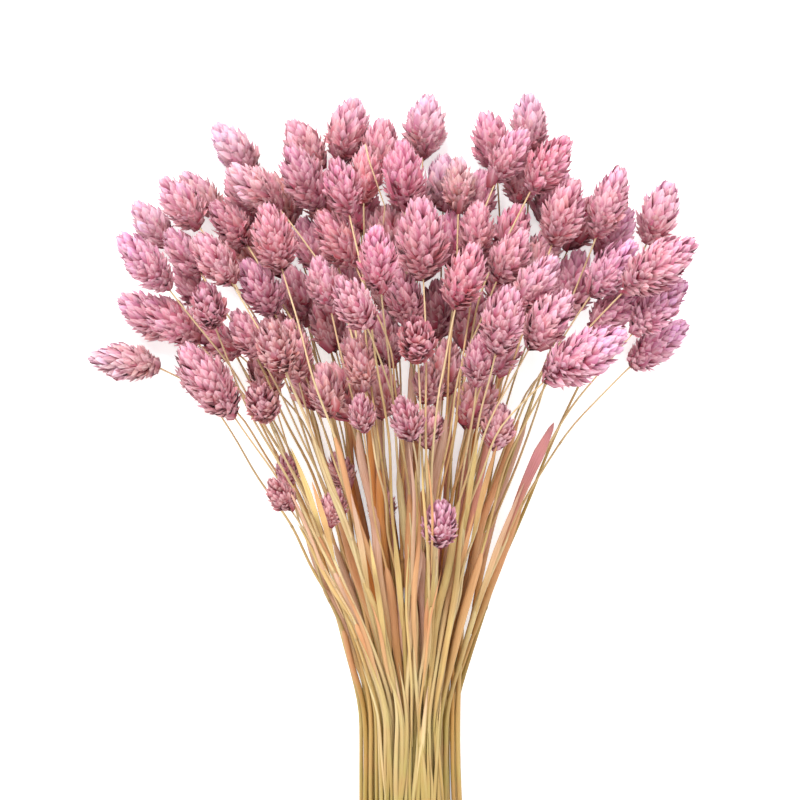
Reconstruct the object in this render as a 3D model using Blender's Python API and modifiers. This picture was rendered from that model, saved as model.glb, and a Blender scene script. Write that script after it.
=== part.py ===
"""Dried canary grass: a loose bunch of dyed seed heads on straw stems, lying on a level surface.

Each culm is one stem with its seed head, and some carry a leaf. The culms are laid one after another,
those that reach farthest first, and each lies on the ones below it, so that the bunch is a low pile. Two
neighbours are pressed together at their cut ends and make one solid, a spray.

Frame: +Z up, +Y along the stems towards the heads, the surface at z = 0, and the origin at the middle of
the bunch's outline on that surface.
"""

import math
import random

import bmesh
import bpy
import numpy as np
from mathutils import Matrix, Vector

MM = 0.001

# Where the neck of the bunch, its narrowest place, stands in the part's frame.
NECK_X = 0.01005
NECK_Y = -0.0420

# The stems.
STEM_BELOW_NECK = 0.215
CUT_END_SPREAD = 0.012
STEM_RADIUS = 0.00135
STEM_RADIUS_STEP = 0.00006
STEM_TOP_RADIUS = 0.0007
STEM_SINK = 0.0035
STEM_ROUND_SHARE = 0.93
ROW_LENGTH = 15
SLOT_PITCH = 0.0031
SLOT_STRAY = 0.0002
FOOT_SPLAY = 1.12
ROW_SWAY = 0.0035
FAN_SHARE = 0.62
FAN_REACH = 0.42
HEAD_REACH = 0.30
FAN_STEPS = 4
STIFFNESS = 2.0
HOOK_LENGTH = 0.016

# The seed heads: widest a third of the way up, with scales in rings that point to the tip.
HEAD_WIDTH_SHARE = 0.65
SLENDER_SHARE = 0.54
SLENDER_FROM = 84
SLENDER_LENGTH = 35
TIP_TAPER = 0.55
HEAD_COLUMNS = 8
HEAD_RINGS = 5
VALLEY_SHARE = 0.74
SCALE_OVERHANG = 0.55
SCALE_RIM = 0.98

# The leaves, thin folded blades that leave a stem at a small angle.
LEAF_THICKNESS = 0.0007
LEAF_STEPS = 4
LEAF_WIDTHS = (0.35, 0.85, 1.0, 0.72, 0.16)
LEAF_FOLD = 0.0006

# The height map that the culms are laid on.
CELL = 0.0004
MAP_X = 0.190
MAP_Y = (-0.250, 0.330)
CLEARANCE = 0.0004
FLOOR_PRESS = 0.93

SEED = 11

# The seed heads tier by tier, from the lowest in the pile. Each row gives the head's middle, x to the
# right of the neck and y from the neck towards the tips, and its length, in millimetres, then how far its
# tip turns to the right and leans up from the surface, in degrees.
BOTTOM_TIER = (
    (8, 295, 30, 5, 0), (-32, 290, 31, 12, 0), (-17, 284, 28, 7, 0), (-49, 280, 28, -30, 0),
    (-90, 281, 30, -40, 0), (-99, 262, 27, -42, 0), (-82, 252, 26, -35, 0), (-131, 245, 27, -38, 0),
    (39, 282, 29, -12, 0), (60, 292, 27, -3, 0), (53, 262, 26, 10, 0), (33, 259, 26, 10, 0),
    (15, 259, 27, 0, 0), (-18, 251, 26, 0, 0), (46, 247, 26, 20, 0), (70, 252, 28, 20, 0),
    (104, 243, 29, 32, 0), (119, 251, 32, 22, 0), (64, 231, 26, 28, 0), (104, 201, 29, 60, 0),
    (126, 184, 35, 53, 0), (-145, 175, 35, -82, 0), (-133, 199, 33, -58, 0), (-111, 214, 25, -35, 0),
    (-56, 237, 28, -20, 0), (-61, 209, 29, -20, 0), (-45, 201, 27, -15, 0), (36, 199, 28, 12, 0),
    (17, 200, 28, 0, 0), (24, 177, 27, 5, 0), (81, 219, 32, 12, 0), (-17, 193, 27, -10, 0),
    (-33, 185, 25, -10, 0), (-14, 168, 25, 0, 0), (-72, 171, 26, -15, 0), (-50, 171, 24, -10, 0),
    (-98, 186, 27, -60, 0), (-109, 170, 27, -30, 0), (-62, 121, 16, -10, 0), (-35, 121, 18, -20, 0),
    (-14, 103, 19, 0, 0), (12, 141, 18, 0, 0),
)
MIDDLE_TIER = (
    (-22, 269, 28, 3, 0), (-54, 264, 34, -25, 4), (-77, 263, 32, -52, 4), (-115, 253, 30, -38, 0),
    (-92, 244, 28, -40, 20), (-113, 233, 27, -38, 5), (-38, 239, 32, -35, 10), (-43, 214, 27, -15, 5),
    (-75, 212, 31, -30, 10), (-120, 196, 32, -50, 5), (30, 244, 28, 4, 6), (28, 262, 26, 0, 0),
    (53, 278, 29, 30, 6), (77, 252, 34, 20, 4), (98, 256, 36, 20, 0), (49, 228, 29, 30, 4),
    (63, 215, 31, 35, 6), (102, 222, 33, 40, 4), (125, 203, 36, 45, 0), (-3, 208, 29, -15, 10),
    (-25, 174, 25, -10, 8), (-55, 180, 30, -10, 10), (-45, 162, 26, -8, 5), (-81, 189, 26, -30, 5),
    (34, 176, 25, 5, 0), (9, 163, 20, 0, 5), (-24, 150, 18, -5, 5), (9, 145, 19, 5, 0),
    (44, 143, 22, 10, 6), (-38, 103, 18, 10, 10), (-4, 269, 33, -3, 6), (70, 273, 32, 36, 6),
)
TOP_TIER = (
    (-34, 262, 28, -15, 8), (-68, 237, 33, -15, 8),
    (-98, 225, 29, -35, 8), (-133, 225, 36, -42, 4), (-99, 204, 28, -15, 45), (7, 236, 40, -3, 8),
    (-17, 225, 31, -5, 8), (-27, 205, 29, -30, 14), (26, 218, 33, 18, 8), (48, 195, 33, 12, 12),
    (68, 194, 33, 36, 10), (3, 186, 29, -5, 50),
    (125, 223, 42, 55, 2), (86, 180, 45, 60, 4), (-66, 183, 30, -20, 30), (-101, 166, 42, -36, 5),
    (-74, 155, 26, -20, 48), (-2, 147, 22, -17, 10), (-65, 109, 18, -33, 20), (15, 95, 24, 5, 28),
)
# Heads that the others hide, in the room that the bottom tier leaves.
FILLER_COUNT = 18
FILLER_TRIALS = 1500
FILLER_LENGTH = 26
FILLER_ROOM = 14.0
FILLER_SIGHT = 10.5
FILLER_NEAR = 160
FILLER_FAR = 262

# How far a head may be moved aside from its place to clear the others of its tier.
TIER_ROOM = (0.0075, 0.0045, 0.0025)
SPREAD_TURNS = 30

# The leaves. Each grows from the uppermost stem that passes nearest to its foot. A row gives the foot,
# x and y from the neck, the length and the width in millimetres, and the turn to the right in degrees.
LEAVES = (
    (45, 78, 72, 6.0, 23), (34, 44, 74, 4.6, 20), (33, 84, 50, 4.4, 14), (21, 40, 60, 4.2, 12),
    (4, 62, 58, 4.4, 0), (-5, 40, 52, 4.4, -5), (-21, 60, 50, 4.4, -10), (-35, 78, 40, 4.4, -16),
    (-44, 88, 46, 4.2, -20), (-14, 26, 60, 4.0, -8), (27, 90, 46, 4.2, 8), (9, 20, 56, 4.0, 2),
)

HEAD_COLOUR = (0.56, 0.24, 0.30, 1.0)
STRAW_COLOUR = (0.62, 0.42, 0.19, 1.0)


def clear_scene():
    """Removes every object that the file opened with."""
    for obj in list(bpy.data.objects):
        bpy.data.objects.remove(obj, do_unlink=True)


def collection(name, shown=True):
    """A new collection in the scene. Helpers go in one that isn't shown."""
    made = bpy.data.collections.new(name)
    bpy.context.scene.collection.children.link(made)
    made.hide_render = not shown
    return made


def material(name, colour, roughness):
    """A Principled material of one colour."""
    made = bpy.data.materials.new(name)
    made.use_nodes = True
    made.diffuse_color = colour
    shader = made.node_tree.nodes["Principled BSDF"]
    shader.inputs["Base Color"].default_value = colour
    shader.inputs["Roughness"].default_value = roughness
    shader.inputs["Metallic"].default_value = 0.0
    return made


class Head:
    """A seed head's place: its middle from the neck, its length, its turn and its lean."""

    def __init__(self, x, y, length, turn, lean):
        self.length = length * MM
        slender = abs(x) > SLENDER_FROM and length >= SLENDER_LENGTH
        self.width = self.length * (SLENDER_SHARE if slender else HEAD_WIDTH_SHARE)
        turn, lean = math.radians(turn), math.radians(lean)
        flat = math.cos(lean)
        self.direction = Vector((math.sin(turn) * flat, math.cos(turn) * flat, math.sin(lean)))
        self.flat_turn = Vector((math.sin(turn), math.cos(turn), 0.0))
        middle = Vector((x * MM, y * MM, 0.0))
        self.base = middle - self.flat_turn * (self.length * flat / 2)

    def reach(self):
        """How far the head's base is from the neck."""
        return self.base.length

    def azimuth(self):
        """The head's direction from the neck, to the right of the bunch's axis."""
        return math.atan2(self.base.x, self.base.y)

    def discs(self):
        """Three discs that cover the head in plan."""
        for share in (0.2, 0.5, 0.8):
            yield self.base + self.direction * (share * self.length), self.width / 2 * head_radius(share)

    def balls(self):
        """Points along the head's axis, each with its rise over the base and a ball's radius."""
        for share in np.linspace(0.02, 0.98, 25):
            point = self.base + self.direction * (share * self.length)
            yield point.z - self.base.z, point, self.width / 2 * head_radius(share)

    def need(self, pile):
        """The least height of the head's base at which the head lies on the pile."""
        return max(pile.needed(point, radius, radius * FLOOR_PRESS) - rise for rise, point, radius in self.balls())


def head_radius(share):
    """A head's outer radius at a share of its length, as a share of half its width."""
    share = min(1.0, max(0.0, share))
    swell = math.sin(math.pi * share**0.68)
    taper = 1.0 - TIP_TAPER * max(0.0, (share - 0.6) / 0.4) ** 1.6
    return (0.30 + 0.70 * max(0.0, swell) ** 0.62) * taper


def fillers(tier, upper):
    """Rows for heads where a tier and those over it leave room, tried in the golden ratio's even order."""
    golden = (math.sqrt(5) - 1) / 2
    found = []
    for trial in range(FILLER_TRIALS):
        side = (trial * golden) % 1.0 - 0.5
        y = FILLER_NEAR + (FILLER_FAR - FILLER_NEAR) * ((trial * golden * 0.37) % 1.0)
        x = side * (92 + (y - FILLER_NEAR))
        room = all(math.hypot(x - r[0], y - r[1]) > FILLER_ROOM for r in (*tier, *found))
        sight = all(math.hypot(x - r[0], y - r[1]) > FILLER_SIGHT for r in upper)
        if len(found) < FILLER_COUNT and room and sight:
            found.append((x, y, FILLER_LENGTH, side * 60, 0))
    return found


def overlap(one, other):
    """How far two heads overlap in plan, and the level direction from the first to the second."""
    most, way = 0.0, Vector((0.0, 0.0, 0.0))
    for near, near_radius in one.discs():
        for far, far_radius in other.discs():
            gap = far - near
            gap.z = 0.0
            deep = near_radius + far_radius - gap.length
            if deep > most:
                most, way = deep, gap.normalized()
    return most, way


def spread_out(heads, room):
    """Moves a tier's heads apart in plan, none of them by more than the room."""
    places = [head.base.copy() for head in heads]
    for _ in range(SPREAD_TURNS):
        for i, one in enumerate(heads):
            for other in heads[i + 1 :]:
                if (one.base - other.base).length > one.length + other.length:
                    continue
                deep, way = overlap(one, other)
                one.base -= way * (deep / 2)
                other.base += way * (deep / 2)
        for head, place in zip(heads, places):
            moved = head.base - place
            if moved.length > room:
                head.base = place + moved.normalized() * room


class Pile:
    """A map of how high the pile stands over the surface."""

    def __init__(self):
        columns = int(2 * MAP_X / CELL)
        rows = int((MAP_Y[1] - MAP_Y[0]) / CELL)
        self.height = np.zeros((columns, rows))

    def window(self, point, radius):
        """The map's cells round a point, each one's rise on a ball of that radius, and those inside."""
        reach = int(radius / CELL) + 1
        i = int((point[0] + MAP_X) / CELL)
        j = int((point[1] - MAP_Y[0]) / CELL)
        cells = (slice(i - reach, i + reach + 1), slice(j - reach, j + reach + 1))
        x = (np.arange(i - reach, i + reach + 1) + 0.5) * CELL - MAP_X - point[0]
        y = (np.arange(j - reach, j + reach + 1) + 0.5) * CELL + MAP_Y[0] - point[1]
        square = radius**2 - x[:, None] ** 2 - y[None, :] ** 2
        return cells, np.sqrt(np.maximum(square, 0.0)), square > 0

    def needed(self, point, radius, floor):
        """The least height at which a ball clears the pile and keeps above a floor."""
        cells, rise, inside = self.window(point, radius + CLEARANCE)
        under = self.height[cells]
        touched = inside & (under > 0)
        if not touched.any():
            return floor
        return max(floor, float((under + rise)[touched].max()))

    def add(self, point, radius):
        """Raises the map by a ball."""
        cells, rise, inside = self.window(point, radius)
        under = self.height[cells]
        self.height[cells] = np.where(inside, np.maximum(under, point[2] + rise), under)


def bezier(a, b, c, d, t):
    """A point on a cubic curve."""
    s = 1 - t
    return a * s**3 + b * (3 * s * s * t) + c * (3 * s * t * t) + d * t**3


def along(a, b, step=0.001):
    """Shares from 0 to 1 that step along a line."""
    count = max(2, int((b - a).length / step))
    return [k / count for k in range(count + 1)]


def taut(least, needs):
    """Raises the heights of a line's knots as little as clears what each stretch needs.

    Args:
        least: the least height of each knot.
        needs: for each stretch between knots, pairs of a share along it and the height it needs there.

    Returns:
        The knots' heights.
    """
    heights = list(least)
    for _ in range(200):
        worst = 0.00001
        for k, stretch in enumerate(needs):
            for share, need in stretch:
                short = need - heights[k] * (1 - share) - heights[k + 1] * share
                if short > worst:
                    worst, place = short, (k, share)
        if worst <= 0.00001:
            break
        k, share = place
        size = share**2 + (1 - share) ** 2
        heights[k] += worst * (1 - share) / size
        heights[k + 1] += worst * share / size
    return heights


def hook_line(foot, other):
    """The two ends of the line by which a culm is joined to the foot of its twin."""
    start = foot + Vector((0.0, HOOK_LENGTH / 2, STEM_RADIUS / 3))
    return start, Vector((other.x, start.y + HOOK_LENGTH, other.z))


class Culm:
    """One stem with its head, in plan at first and then laid on the pile."""

    def __init__(self, head, slot_x, foot_x, odd, draw):
        self.head = head
        self.radius = STEM_RADIUS + (STEM_RADIUS_STEP if odd else 0.0)
        cut = -STEM_BELOW_NECK + draw.uniform(-CUT_END_SPREAD, CUT_END_SPREAD)
        neck = Vector((slot_x, 0.0, 0.0))
        spread = head.base - neck
        lean = FAN_SHARE * math.atan2(spread.x, spread.y)
        out = neck + Vector((math.sin(lean), math.cos(lean), 0.0)) * (FAN_REACH * spread.length)
        back = head.base - head.flat_turn * (HEAD_REACH * spread.length)
        fan = [bezier(neck, out, back, head.base, k / FAN_STEPS) for k in range(FAN_STEPS + 1)]
        self.points = [Vector((foot_x, cut, 0.0)), *fan]
        self.low = 0.0
        self.twin = None
        self.leaves = []

    def radii(self):
        """The stem's radius at each of its points, to its square section's corners."""
        fan = [1 - k / FAN_STEPS for k in range(FAN_STEPS + 1)]
        upper = [STEM_TOP_RADIUS + (self.radius - STEM_TOP_RADIUS) * share for share in fan]
        return [self.radius, *upper]

    def balls(self):
        """For each stretch of the stem, the shares along it with a point and a ball's radius at each."""
        radii = self.radii()
        for k in range(len(self.points) - 1):
            a, b = self.points[k], self.points[k + 1]
            yield [
                (t, a.lerp(b, t), (radii[k] * (1 - t) + radii[k + 1] * t) * STEM_ROUND_SHARE)
                for t in along(a, b)
            ]

    def lay(self, pile):
        """Gives each point the least height at which the culm lies on the pile."""
        needs = [
            [(t, pile.needed(point, radius, radius * 0.76)) for t, point, radius in stretch]
            for stretch in self.balls()
        ]
        least = [stretch[0][1] for stretch in needs] + [needs[-1][-1][1]]
        least[-1] = max(least[-1], self.head.need(pile))
        least[0] = max(least[0], self.low)
        least[1] = max(least[1], self.low)
        for k in range(2, len(least) - 1):
            rise = ((k - 1) / FAN_STEPS) ** STIFFNESS
            least[k] = max(least[k], least[1] + (least[-1] - least[1]) * rise)
        for point, height in zip(self.points, taut(least, needs)):
            point.z = height
        self.head.base = self.points[-1]

    def join(self, twin, pile):
        """Takes the culm to the left as its twin, and keeps both above what the hook between them needs."""
        self.twin = twin
        a, b = hook_line(twin.points[0], self.points[0])
        self.low = max(pile.needed(a.lerp(b, t), self.radius, 0.0) for t in along(a, b))
        twin.low = self.low

    def press(self, pile):
        """Adds the culm to the pile's map."""
        for stretch in self.balls():
            for _, point, radius in stretch:
                pile.add(point, radius)
        for _, point, radius in self.head.balls():
            pile.add(point, radius)


class Leaf:
    """A blade that leaves a culm's fan and lies on the pile."""

    def __init__(self, culm, x, y, length, width, turn):
        self.width = width * MM
        foot = Vector((x * MM, y * MM))
        places = [point for stretch in list(culm.balls())[1:-1] for _, point, _ in stretch]
        root = min(places, key=lambda point: (point.xy - foot).length)
        self.cost = (root.xy - foot).length - 0.5 * root.z
        self.points = [root + Vector((0.0, 0.0, STEM_RADIUS / 2))]
        for step in range(LEAF_STEPS):
            bend = math.radians(turn * (0.85 + 0.1 * step))
            way = Vector((math.sin(bend), math.cos(bend), 0.0))
            self.points.append(self.points[-1] + way * (length * MM / LEAF_STEPS))

    def across(self, k):
        """The level direction across the blade at one of its points, to the right."""
        a, b = self.points[max(0, k - 1)], self.points[min(LEAF_STEPS, k + 1)]
        return Vector((b.y - a.y, a.x - b.x, 0.0)).normalized()

    def balls(self):
        """For each stretch of the blade, the shares along it with points across and a radius."""
        for k in range(LEAF_STEPS):
            a, b = self.points[k], self.points[k + 1]
            half_a, half_b = (self.width / 2 * LEAF_WIDTHS[j] for j in (k, k + 1))
            side_a, side_b = self.across(k) * half_a, self.across(k + 1) * half_b
            yield [
                (t, a.lerp(b, t) + side_a.lerp(side_b, t) * share, LEAF_THICKNESS)
                for t in along(a, b)
                for share in np.linspace(-1.0, 1.0, 9)
            ]

    def lay(self, pile):
        """Gives each point the least height at which the blade lies on the pile."""
        needs = [
            [(t, pile.needed(point, radius, radius)) for t, point, radius in stretch]
            for stretch in self.balls()
        ]
        least = [self.points[0].z] * (LEAF_STEPS + 1)
        needs[0] = [(t, need) for t, need in needs[0] if t > 0.35]
        heights = taut(least, needs)
        for point, height in zip(self.points[1:], heights[1:]):
            point.z = height

    def press(self, pile):
        """Adds the blade to the pile's map."""
        for stretch in self.balls():
            for _, point, radius in stretch:
                pile.add(point, radius)


def rows_of(tier, room):
    """A tier's heads in rows for the neck, those that reach farthest first."""
    heads = [Head(*row) for row in tier]
    spread_out(heads, room)
    heads.sort(key=lambda head: -head.reach())
    count = math.ceil(len(heads) / ROW_LENGTH)
    ends = [round(k * len(heads) / count / 2) * 2 for k in range(count + 1)]
    return [heads[a:b] for a, b in zip(ends, ends[1:])]


def laid_culms():
    """Every culm, laid on the pile in rows from the neck's lowest row up, in pairs of neighbours."""
    draw = random.Random(SEED)
    pile = Pile()
    culms = []
    lowest = (*BOTTOM_TIER, *fillers(BOTTOM_TIER, (*MIDDLE_TIER, *TOP_TIER)))
    tiers = zip((lowest, MIDDLE_TIER, TOP_TIER), TIER_ROOM)
    rows = [row for tier, room in tiers for row in rows_of(tier, room)]
    for number, heads in enumerate(rows):
        heads.sort(key=lambda head: head.azimuth())
        shift = (len(heads) - 1) / 2 - (0.25 if number % 2 else -0.25)
        sway = ROW_SWAY * math.sin(2.4 * number)
        row = []
        for slot, head in enumerate(heads):
            x = (slot - shift) * SLOT_PITCH + draw.uniform(-SLOT_STRAY, SLOT_STRAY)
            row.append(Culm(head, x, x * FOOT_SPLAY + sway, slot % 2, draw))
        for left, right in zip(row[::2], row[1::2]):
            right.join(left, pile)
        for culm in sorted(row, key=lambda culm: -culm.head.reach()):
            culm.lay(pile)
            culm.press(pile)
        culms += row
    for leaf_row in LEAVES:
        leaf, culm = min(((Leaf(culm, *leaf_row), culm) for culm in culms), key=lambda pair: pair[0].cost)
        leaf.lay(pile)
        leaf.press(pile)
        culm.leaves.append(leaf)
    return culms


def at_neck(point):
    """A point measured from the neck, in the part's frame."""
    return Vector((point.x + NECK_X, point.y + NECK_Y, point.z))


def mesh_from(obj, name):
    """A mesh object with the shape of an evaluated one, which is removed."""
    graph = bpy.context.evaluated_depsgraph_get()
    mesh = bpy.data.meshes.new_from_object(obj.evaluated_get(graph))
    made = bpy.data.objects.new(name, mesh)
    made.matrix_world = obj.matrix_world
    bpy.data.objects.remove(obj, do_unlink=True)
    return made


def stem_object(culm, name, work, straw):
    """A square tube along the culm's points, from its cut end to well inside its head."""
    points = [at_neck(point) for point in culm.points]
    radii = culm.radii()
    if culm.twin:
        points[:1] = [at_neck(point) for point in hook_line(culm.twin.points[0], culm.points[0])]
        radii.insert(0, culm.radius)
    points[-1] += culm.head.direction * STEM_SINK
    curve = bpy.data.curves.new(name, "CURVE")
    curve.dimensions = "3D"
    curve.twist_mode = "Z_UP"
    curve.bevel_depth = 1.0
    curve.bevel_resolution = 0
    curve.use_fill_caps = True
    spline = curve.splines.new("POLY")
    spline.points.add(len(points) - 1)
    for knot, point, radius in zip(spline.points, points, radii):
        knot.co = (*point, 1.0)
        knot.radius = radius
        knot.tilt = math.pi / 4
    obj = bpy.data.objects.new(name, curve)
    work.objects.link(obj)
    made = mesh_from(obj, name)
    shell = bmesh.new()
    shell.from_mesh(made.data)
    bmesh.ops.remove_doubles(shell, verts=shell.verts, dist=0.000001)
    bmesh.ops.recalc_face_normals(shell, faces=shell.faces)
    shell.to_mesh(made.data)
    shell.free()
    made.data.materials.clear()
    made.data.materials.append(straw)
    work.objects.link(made)
    return made


def head_object(culm, name, work, pink):
    """A seed head: a ball drawn out along its axis, with rings of scales raised from it."""
    head = culm.head
    shell = bmesh.new()
    bmesh.ops.create_uvsphere(shell, u_segments=HEAD_COLUMNS, v_segments=HEAD_RINGS + 1, radius=1.0)
    shell.verts.ensure_lookup_table()
    bottom = min(shell.verts, key=lambda vert: vert.co.z)
    bmesh.ops.dissolve_verts(shell, verts=[bottom])
    half = head.width / 2
    for vert in shell.verts:
        polar = math.acos(max(-1.0, min(1.0, vert.co.z)))
        ring = round(HEAD_RINGS - polar / math.pi * (HEAD_RINGS + 1))
        if ring == HEAD_RINGS:
            vert.co = (0.0, 0.0, head.length)
            continue
        column = round(math.atan2(vert.co.y, vert.co.x) / math.tau * HEAD_COLUMNS)
        raised = ring > 0 and (ring + column) % 2 == 0
        share = ring / HEAD_RINGS
        low = half * head_radius(share) * VALLEY_SHARE
        high = half * head_radius(share + SCALE_OVERHANG / HEAD_RINGS) * SCALE_RIM
        angle = column / HEAD_COLUMNS * math.tau
        radius = high if raised else (half * 0.26 if ring == 0 else low)
        rise = (share + (SCALE_OVERHANG / HEAD_RINGS if raised else 0.0)) * head.length
        vert.co = (radius * math.cos(angle), radius * math.sin(angle), min(rise, head.length * 0.97))
    turned = head.direction.to_track_quat("Z", "Y").to_matrix().to_4x4()
    placed = Matrix.Translation(at_neck(head.base)) @ turned
    bmesh.ops.transform(shell, matrix=placed, verts=shell.verts)
    for vert in shell.verts:
        vert.co.z = max(vert.co.z, 0.0)
    bmesh.ops.recalc_face_normals(shell, faces=shell.faces)
    mesh = bpy.data.meshes.new(name)
    shell.to_mesh(mesh)
    shell.free()
    mesh.materials.append(pink)
    obj = bpy.data.objects.new(name, mesh)
    work.objects.link(obj)
    return obj


def leaf_object(leaf, name, work, straw):
    """A thin blade, folded along its middle, along the leaf's points."""
    shell = bmesh.new()
    bmesh.ops.create_grid(shell, x_segments=2, y_segments=LEAF_STEPS, size=1.0)
    for vert in shell.verts:
        k = round((vert.co.y + 1) / 2 * LEAF_STEPS)
        side = round(vert.co.x)
        half = leaf.width / 2 * LEAF_WIDTHS[k]
        fold = LEAF_FOLD * LEAF_WIDTHS[k] * abs(side)
        vert.co = at_neck(leaf.points[k]) + leaf.across(k) * (half * side)
        vert.co.z += fold
    bmesh.ops.recalc_face_normals(shell, faces=shell.faces)
    mesh = bpy.data.meshes.new(name)
    shell.to_mesh(mesh)
    shell.free()
    obj = bpy.data.objects.new(name, mesh)
    work.objects.link(obj)
    solid = obj.modifiers.new("thickness", "SOLIDIFY")
    solid.thickness = LEAF_THICKNESS
    solid.offset = 0.0
    made = mesh_from(obj, name)
    made.data.materials.append(straw)
    work.objects.link(made)
    return made


def join_spray(name, pieces, shown):
    """One solid of all the pieces, by one union, in the shown collection."""
    first, *rest = pieces
    others = collection(name + "_joined", shown=False)
    for piece in rest:
        for owner in list(piece.users_collection):
            owner.objects.unlink(piece)
        others.objects.link(piece)
    union = first.modifiers.new("joined", "BOOLEAN")
    union.operation = "UNION"
    union.operand_type = "COLLECTION"
    union.collection = others
    union.solver = "MANIFOLD"
    made = mesh_from(first, name)
    made.name = name
    shown.objects.link(made)
    for piece in list(others.objects):
        bpy.data.objects.remove(piece, do_unlink=True)
    bpy.data.collections.remove(others)
    made.data.set_sharp_from_angle(angle=math.radians(40))
    return made


def main():
    """Builds the sprays of the bunch."""
    clear_scene()
    shown = collection("dried_canary_grass")
    work = collection("work", shown=False)
    pink = material("dyed_seed_head", HEAD_COLOUR, 0.85)
    straw = material("straw_stem", STRAW_COLOUR, 0.7)
    pieces = []
    number = 0
    for index, culm in enumerate(laid_culms()):
        pieces.append(stem_object(culm, f"stem_{index}", work, straw))
        pieces.append(head_object(culm, f"head_{index}", work, pink))
        for count, leaf in enumerate(culm.leaves):
            pieces.append(leaf_object(leaf, f"leaf_{index}_{count}", work, straw))
        if culm.twin:
            number += 1
            join_spray(f"spray_{number:02d}", pieces, shown)
            pieces = []
    bpy.data.collections.remove(work)


main()
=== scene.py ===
"""Dried canary grass: the looks of a loose bunch of dyed seed heads on straw stems.

The bunch is laid out by the same rule as its solids: the culms are laid one after another, and each lies on
the ones below it. Each spray of two culms then gets two finished pieces, its seed heads with every papery
husk, and its straw stems with their sheaths, joints and blades.

Frame: metres, +Z up, +Y along the stems towards the heads, and the surface at z = 0.
"""

from __future__ import annotations

import logging
import math
import random
from collections.abc import Iterator
from dataclasses import dataclass, field
from enum import Enum
from typing import TypeVar

import bpy
import numpy as np
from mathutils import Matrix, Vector

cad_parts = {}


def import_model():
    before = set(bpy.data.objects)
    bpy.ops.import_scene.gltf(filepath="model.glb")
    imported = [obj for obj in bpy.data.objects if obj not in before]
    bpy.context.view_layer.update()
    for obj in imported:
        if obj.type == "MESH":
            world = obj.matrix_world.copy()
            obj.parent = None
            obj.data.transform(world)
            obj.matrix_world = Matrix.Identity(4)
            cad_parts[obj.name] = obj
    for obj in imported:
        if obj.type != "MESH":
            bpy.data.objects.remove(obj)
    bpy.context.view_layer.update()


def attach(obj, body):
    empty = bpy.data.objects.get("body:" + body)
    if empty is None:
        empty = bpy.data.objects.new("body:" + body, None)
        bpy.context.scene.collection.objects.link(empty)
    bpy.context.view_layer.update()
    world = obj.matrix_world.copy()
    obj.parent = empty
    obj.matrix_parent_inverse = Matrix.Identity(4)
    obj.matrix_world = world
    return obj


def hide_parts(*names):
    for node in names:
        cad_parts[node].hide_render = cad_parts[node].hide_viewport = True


log = logging.getLogger("canary_grass")

Choice = TypeVar("Choice")

MM = 0.001
TO_MM = 1000.0

# Where the neck of the bunch, its narrowest place, stands in the part's frame.
NECK_X = 0.01005
NECK_Y = -0.0420

# The stems, as they are laid.
STEM_BELOW_NECK = 0.215
CUT_END_SPREAD = 0.012
STEM_RADIUS = 0.00135
STEM_RADIUS_STEP = 0.00006
STEM_TOP_RADIUS = 0.0007
STEM_ROUND_SHARE = 0.93
STEM_BED_SHARE = 0.76
ROW_LENGTH = 15
SLOT_PITCH = 0.0031
SLOT_STRAY = 0.0002
FOOT_SPLAY = 1.12
ROW_SWAY = 0.0035
ROW_SWAY_PACE = 2.4
ROW_STAGGER = 0.25
FAN_SHARE = 0.62
FAN_REACH = 0.42
HEAD_REACH = 0.30
FAN_STEPS = 4
STIFFNESS = 2.0
HOOK_LENGTH = 0.016

# The seed heads' breadth to their length, and the leaves, as they are laid.
HEAD_WIDTH_SHARE = 0.65
SLENDER_SHARE = 0.54
SLENDER_FROM = 84
SLENDER_LENGTH = 35
TIP_TAPER = 0.55
TAPER_FROM = 0.6
TAPER_POWER = 1.6
SWELL_POWER = 0.68
BASE_RADIUS_SHARE = 0.30
FULLNESS = 0.62
DISC_SHARES = (0.2, 0.5, 0.8)
BALL_SPAN = (0.02, 0.98)
BALLS_PER_HEAD = 25
LEAF_THICKNESS = 0.0007
LEAF_STEPS = 4
LEAF_COLUMNS = 9
LEAF_FIRST_BEND = 0.85
LEAF_BEND_STEP = 0.1
LEAF_CLIMB = 0.5
LEAF_FREE_FROM = 0.35
LEAF_WIDTHS = (0.35, 0.85, 1.0, 0.72, 0.16)

# The height map that the culms are laid on.
CELL = 0.0004
MAP_X = 0.190
MAP_Y = (-0.250, 0.330)
CLEARANCE = 0.0004
FLOOR_PRESS = 0.93
TAUT_TURNS = 200
TAUT_SLACK = 0.00001

LAYING_SEED = 11
LOOKS_SEED = 29

# The heads that fill the middle of the mass, in millimetres and degrees.
FILLER_COUNT = 18
FILLER_TRIALS = 1500
FILLER_LENGTH = 26
FILLER_ROOM = 14.0
FILLER_SIGHT = 10.5
FILLER_NEAR = 160
FILLER_FAR = 262
FILLER_STEP = 0.37
FILLER_BREADTH = 92
FILLER_TURN = 60

# How far the heads of each tier may move aside to clear each other, and in how many turns.
TIER_ROOM = (0.0075, 0.0045, 0.0025)
SPREAD_TURNS = 30

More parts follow.
